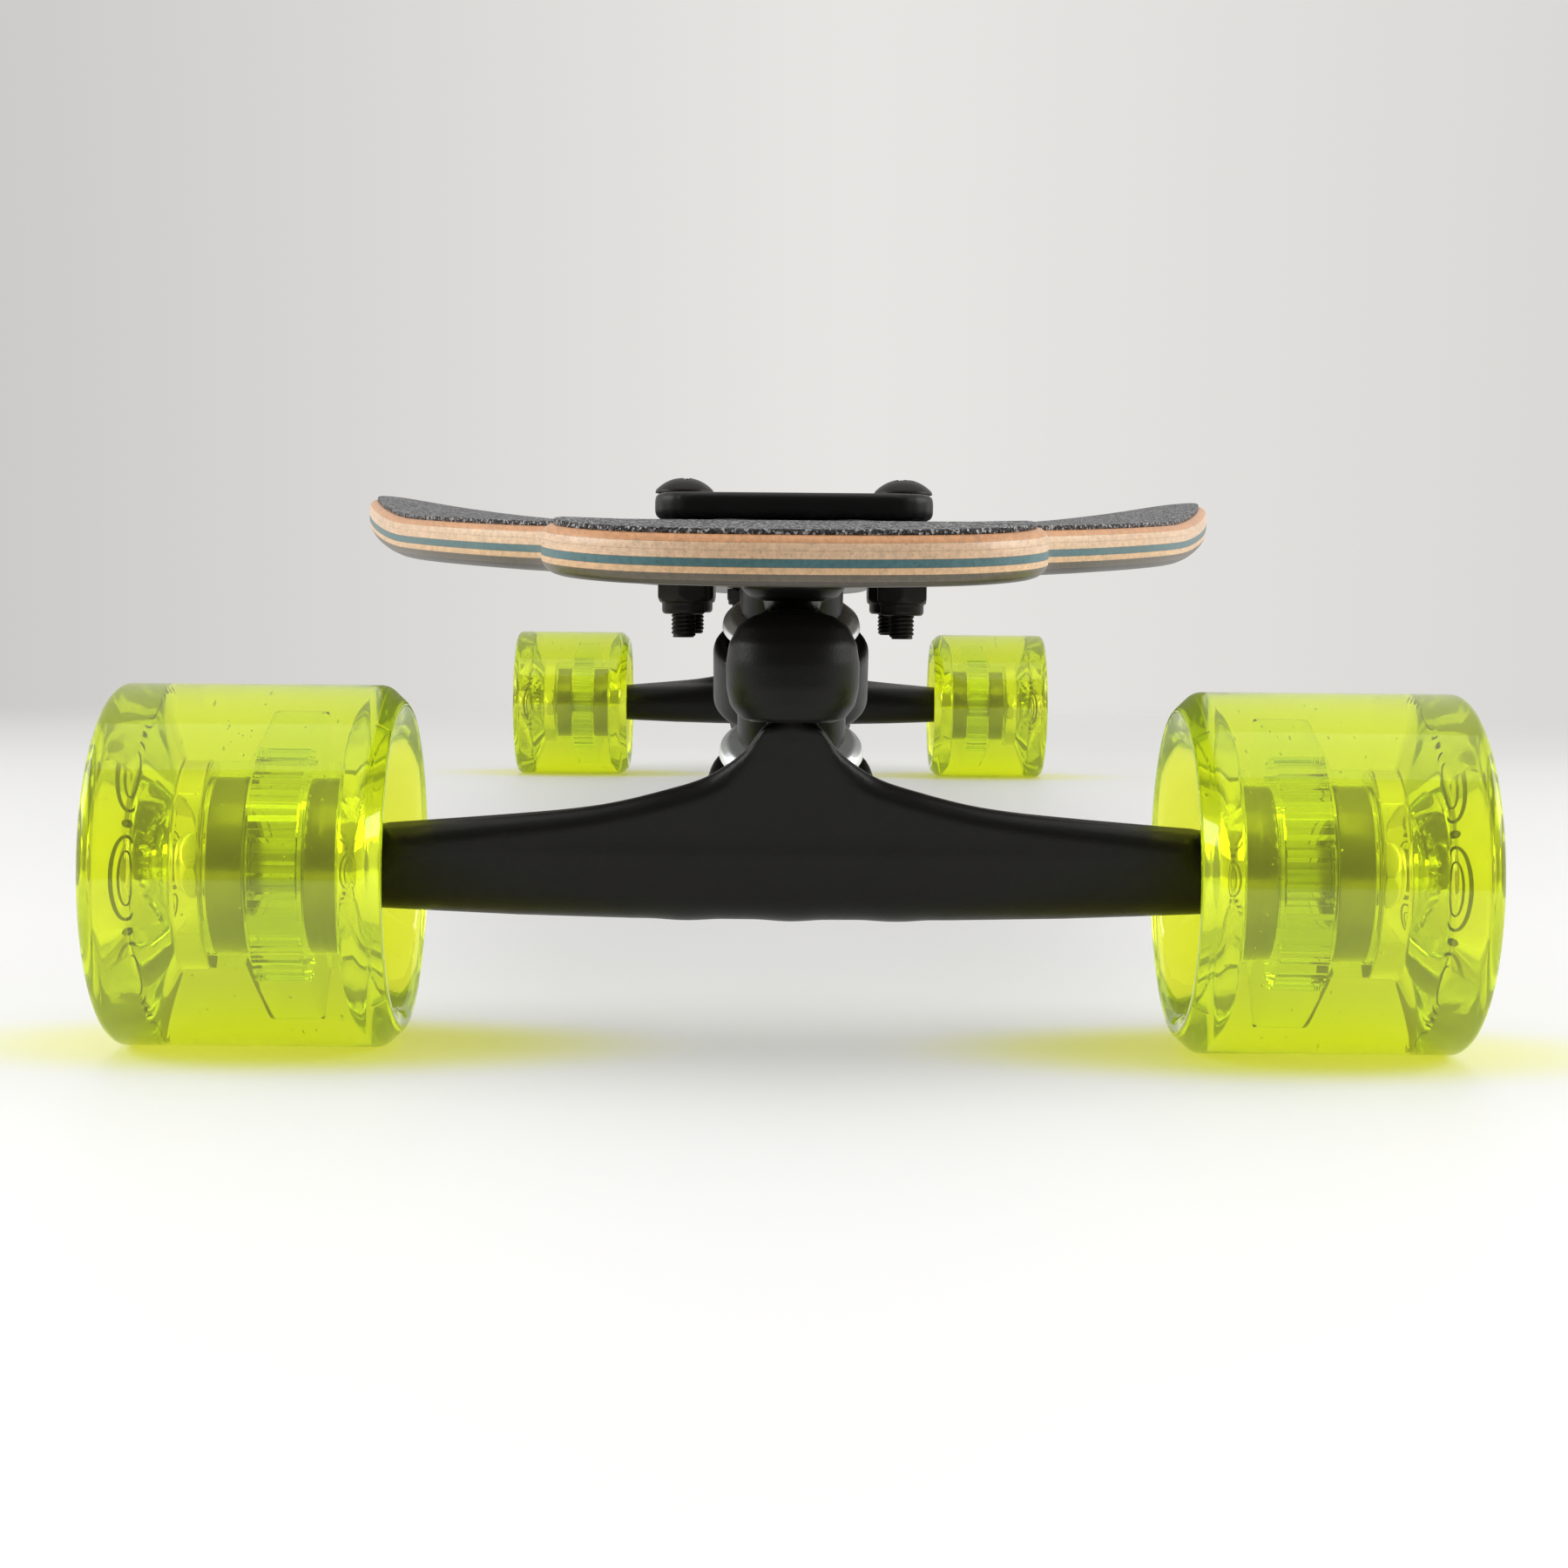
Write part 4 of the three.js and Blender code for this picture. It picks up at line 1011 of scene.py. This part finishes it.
def wheel_pieces(end, side, place):
    name = f"{end}_{'left' if (side < 0) == (end == 'front') else 'right'}"
    body = name + "_wheel"
    hub = place @ Matrix.Translation((0, 0, AXLE_Z * MM)) @ along((0, 0, 0), (side, 0, 0))
    put(name + "_tread", TYRE_MESH, URETHANE, "urethane", body, hub, [name + "_tyre"])
    put(name + "_hub", CORE_MESH, CORE_PLASTIC, "core_plastic", body, hub, [name + "_core"])
    put(name + "_ribs", RIB_MESH, RIB_PLASTIC, "core_plastic", body, hub)
    put(name + "_print", PRINT_MESH, INK, "core_plastic", body, hub)
    for what, start in BEARINGS.items():
        spot = hub @ Matrix.Translation((0, 0, start * MM))
        put(f"{name}_{what}_races", BEARING_MESH, STEEL, "zinc", body, spot, [f"{name}_{what}_bearing"])
        put(f"{name}_{what}_shields", SHIELD_MESH, SHIELD, "zinc", body, spot)


def add_bubbles(mesh):
    """Tiny air bubbles in the casting: small spheres that face inwards."""
    bm = bmesh.new()
    bm.from_mesh(mesh)
    for _ in range(90):
        angle, radius = random.uniform(0, 2 * math.pi), random.uniform(13.6, 31)
        spot = (radius * math.cos(angle), radius * math.sin(angle), random.uniform(85, 112))
        size = random.uniform(0.1, 0.26) * MM
        place = Matrix.Translation(Vector(spot) * MM)
        made = bmesh.ops.create_icosphere(bm, subdivisions=2, radius=size, matrix=place)
        inward = {face for vertex in made["verts"] for face in vertex.link_faces}
        bmesh.ops.reverse_faces(bm, faces=list(inward))
    bm.to_mesh(mesh)
    bm.free()


def plain_ring(inner, outer, low, high, edge, sides, steps=2):
    """A ring with a rectangular section and rounded edges."""
    section = [(inner, low), (outer, low), (outer, high), (inner, high)]
    return turned(rounded(section, edge, True, steps), sides, True)


def wheel_meshes():
    """The meshes that all four wheels share: tread, hub, ribs, bearing races and bearing shields."""
    tyre_mesh = make_mesh("tread", turned(rounded(TYRE_PROFILE, 1.5, True, 6), 160, True), 50)
    add_bubbles(tyre_mesh)
    races = merged(plain_ring(4.0, 5.9, 0, 7, 0.35, 48, 3), plain_ring(9.3, 11, 0, 7, 0.35, 64, 3))
    shields = merged(*[plain_ring(5.9, 9.3, z, z + 0.5, 0.15, 48) for z in (0.35, 6.15)])
    return (
        tyre_mesh,
        make_mesh("hub", turned(HUB_PROFILE, 96, True), 28),
        make_mesh("ribs", toothed_sleeve(90.8, 99.6, 26), 28),
        make_mesh("races", races, 40),
        make_mesh("shields", shields, 40),
    )


def print_mesh():
    """A plain printed ring of ovals and dots round the outer face."""
    def face_height(radius):
        """Just over the tyre's outer face."""
        return float(np.interp(radius, [17, 22, 27.2, 29.6], [116, 119.4, 125.6, WHEEL["outer"]])) + 0.04
    points, faces = [], []

    def loop(centre_angle, half_angle, half_radius, width):
        """An outlined oval, a little raised."""
        start, count, centre_radius, thick = len(points), 40, 22.4, 0.1
        for i in range(count):
            a = i * 2 * math.pi / count
            for grow, lift in ((0, 0), (width, 0), (width, thick), (0, thick)):
                radius = centre_radius + (half_radius - grow) * math.sin(a)
                angle = centre_angle + (half_angle - grow / centre_radius) * math.cos(a)
                height = face_height(radius) + lift
                points.append((radius * math.cos(angle), radius * math.sin(angle), height))
            k = (i + 1) % count
            for c in range(4):
                faces.append((start + 4 * i + c, start + 4 * k + c,
                              start + 4 * k + (c + 1) % 4, start + 4 * i + (c + 1) % 4))
    for i in range(8):
        angle = i * math.pi / 4
        loop(angle, 0.31, 2.3, 0.5)
        loop(angle, 0.2, 1.15, 0.28)
        loop(angle + math.pi / 8, 0.03, 0.75, 0.6)
    return make_mesh("wheel_print", (np.array(points), faces))


def axle_pieces(end, place):
    name = f"{end}_axle_"
    centre = Matrix.Translation((0, 0, AXLE_Z))
    hanger = end + "_hanger"
    thread_from, half_length, nut_at = 104, 115.9, 109.2
    shaft = turned([(0, -thread_from), (AXLE_RADIUS, -thread_from), (AXLE_RADIUS, thread_from),
                    (0, thread_from)], 40)
    thread = threaded(AXLE_RADIUS, 0.45, 1.06, thread_from, half_length)
    ways = [centre @ along((0, 0, 0), (side, 0, 0)) for side in (-1, 1)]
    whole = merged(moved(shaft, ways[1]), *[moved(thread, way) for way in ways])
    put_shape(name + "rod", whole, 28, STEEL, "zinc", hanger, place, [end + "_axle"])
    rings = merged(plain_ring(4.1, 5.3, 90.4, 100.4, 0.3, 40),
                   *[plain_ring(4.1, 5.9, z, z + 1.1, 0.3, 40) for z in (81.7, 108.0)])
    for way, word in zip(ways, "ab"):
        put_shape(name + "washers_" + word, moved(rings, way), 40, ZINC, "zinc", hanger, place)
        nut = moved(AXLE_NUT, way @ Matrix.Translation((0, 0, nut_at)))
        put_shape(name + "nut_" + word, nut, 24, ZINC, "zinc", hanger, place)


def make_castings():
    """The meshes of both trucks' castings."""
    cell = 0.65
    fields = {
        "baseplate": (baseplate_field, (-27, -20, 64), (27, 74, 106)),
        "link": (link_field, (-19, -27, 48), (19, 70, 102)),
        "hanger": (hanger_field, (-83, -20, 20), (83, 42, 80)),
    }
    return {what: make_mesh(what + "_casting", skin(*field, cell), 40) for what, field in fields.items()}


SCREW_HEAD = screw_head(5.5, 3.0)
BOLT_NUT = locking_nut(5.3, 5.2, 7.4, 2.2)
KINGPIN_NUT = locking_nut(8.2, 6.2, 8, 4.5)
AXLE_NUT = locking_nut(6.9, 4.0, 5.4, 3.7)
HEX_HEAD = skin(lambda p: hexagon(p, 7.15, 0, 6, 1.0), (-8.3, -8.3, 0), (8.3, 8.3, 6), 0.4)
TYRE_MESH, CORE_MESH, RIB_MESH, BEARING_MESH, SHIELD_MESH = wheel_meshes()
PRINT_MESH = print_mesh()


def make_truck(end, castings):
    place = ENDS[end]
    board, link, hanger = "board", end + "_link", end + "_hanger"
    for what, body, replaced in (("baseplate", board, "_baseplate"), ("link", link, "_middle_link"),
                                 ("hanger", hanger, "_hanger")):
        put(f"{end}_{what}_casting", castings[what], PAINT, "black_casting", body, place, [end + replaced])
    stage_pieces(end, UPPER, place, board, link)
    stage_pieces(end, LOWER, place, link, hanger)
    bolt_pieces(end, place)
    axle_pieces(end, place)
    for side in (-1, 1):
        wheel_pieces(end, side, place)


make_camera()
make_world()
make_lights()
make_floor()
make_deck()
castings = make_castings()
for end in ENDS:
    make_truck(end, castings)
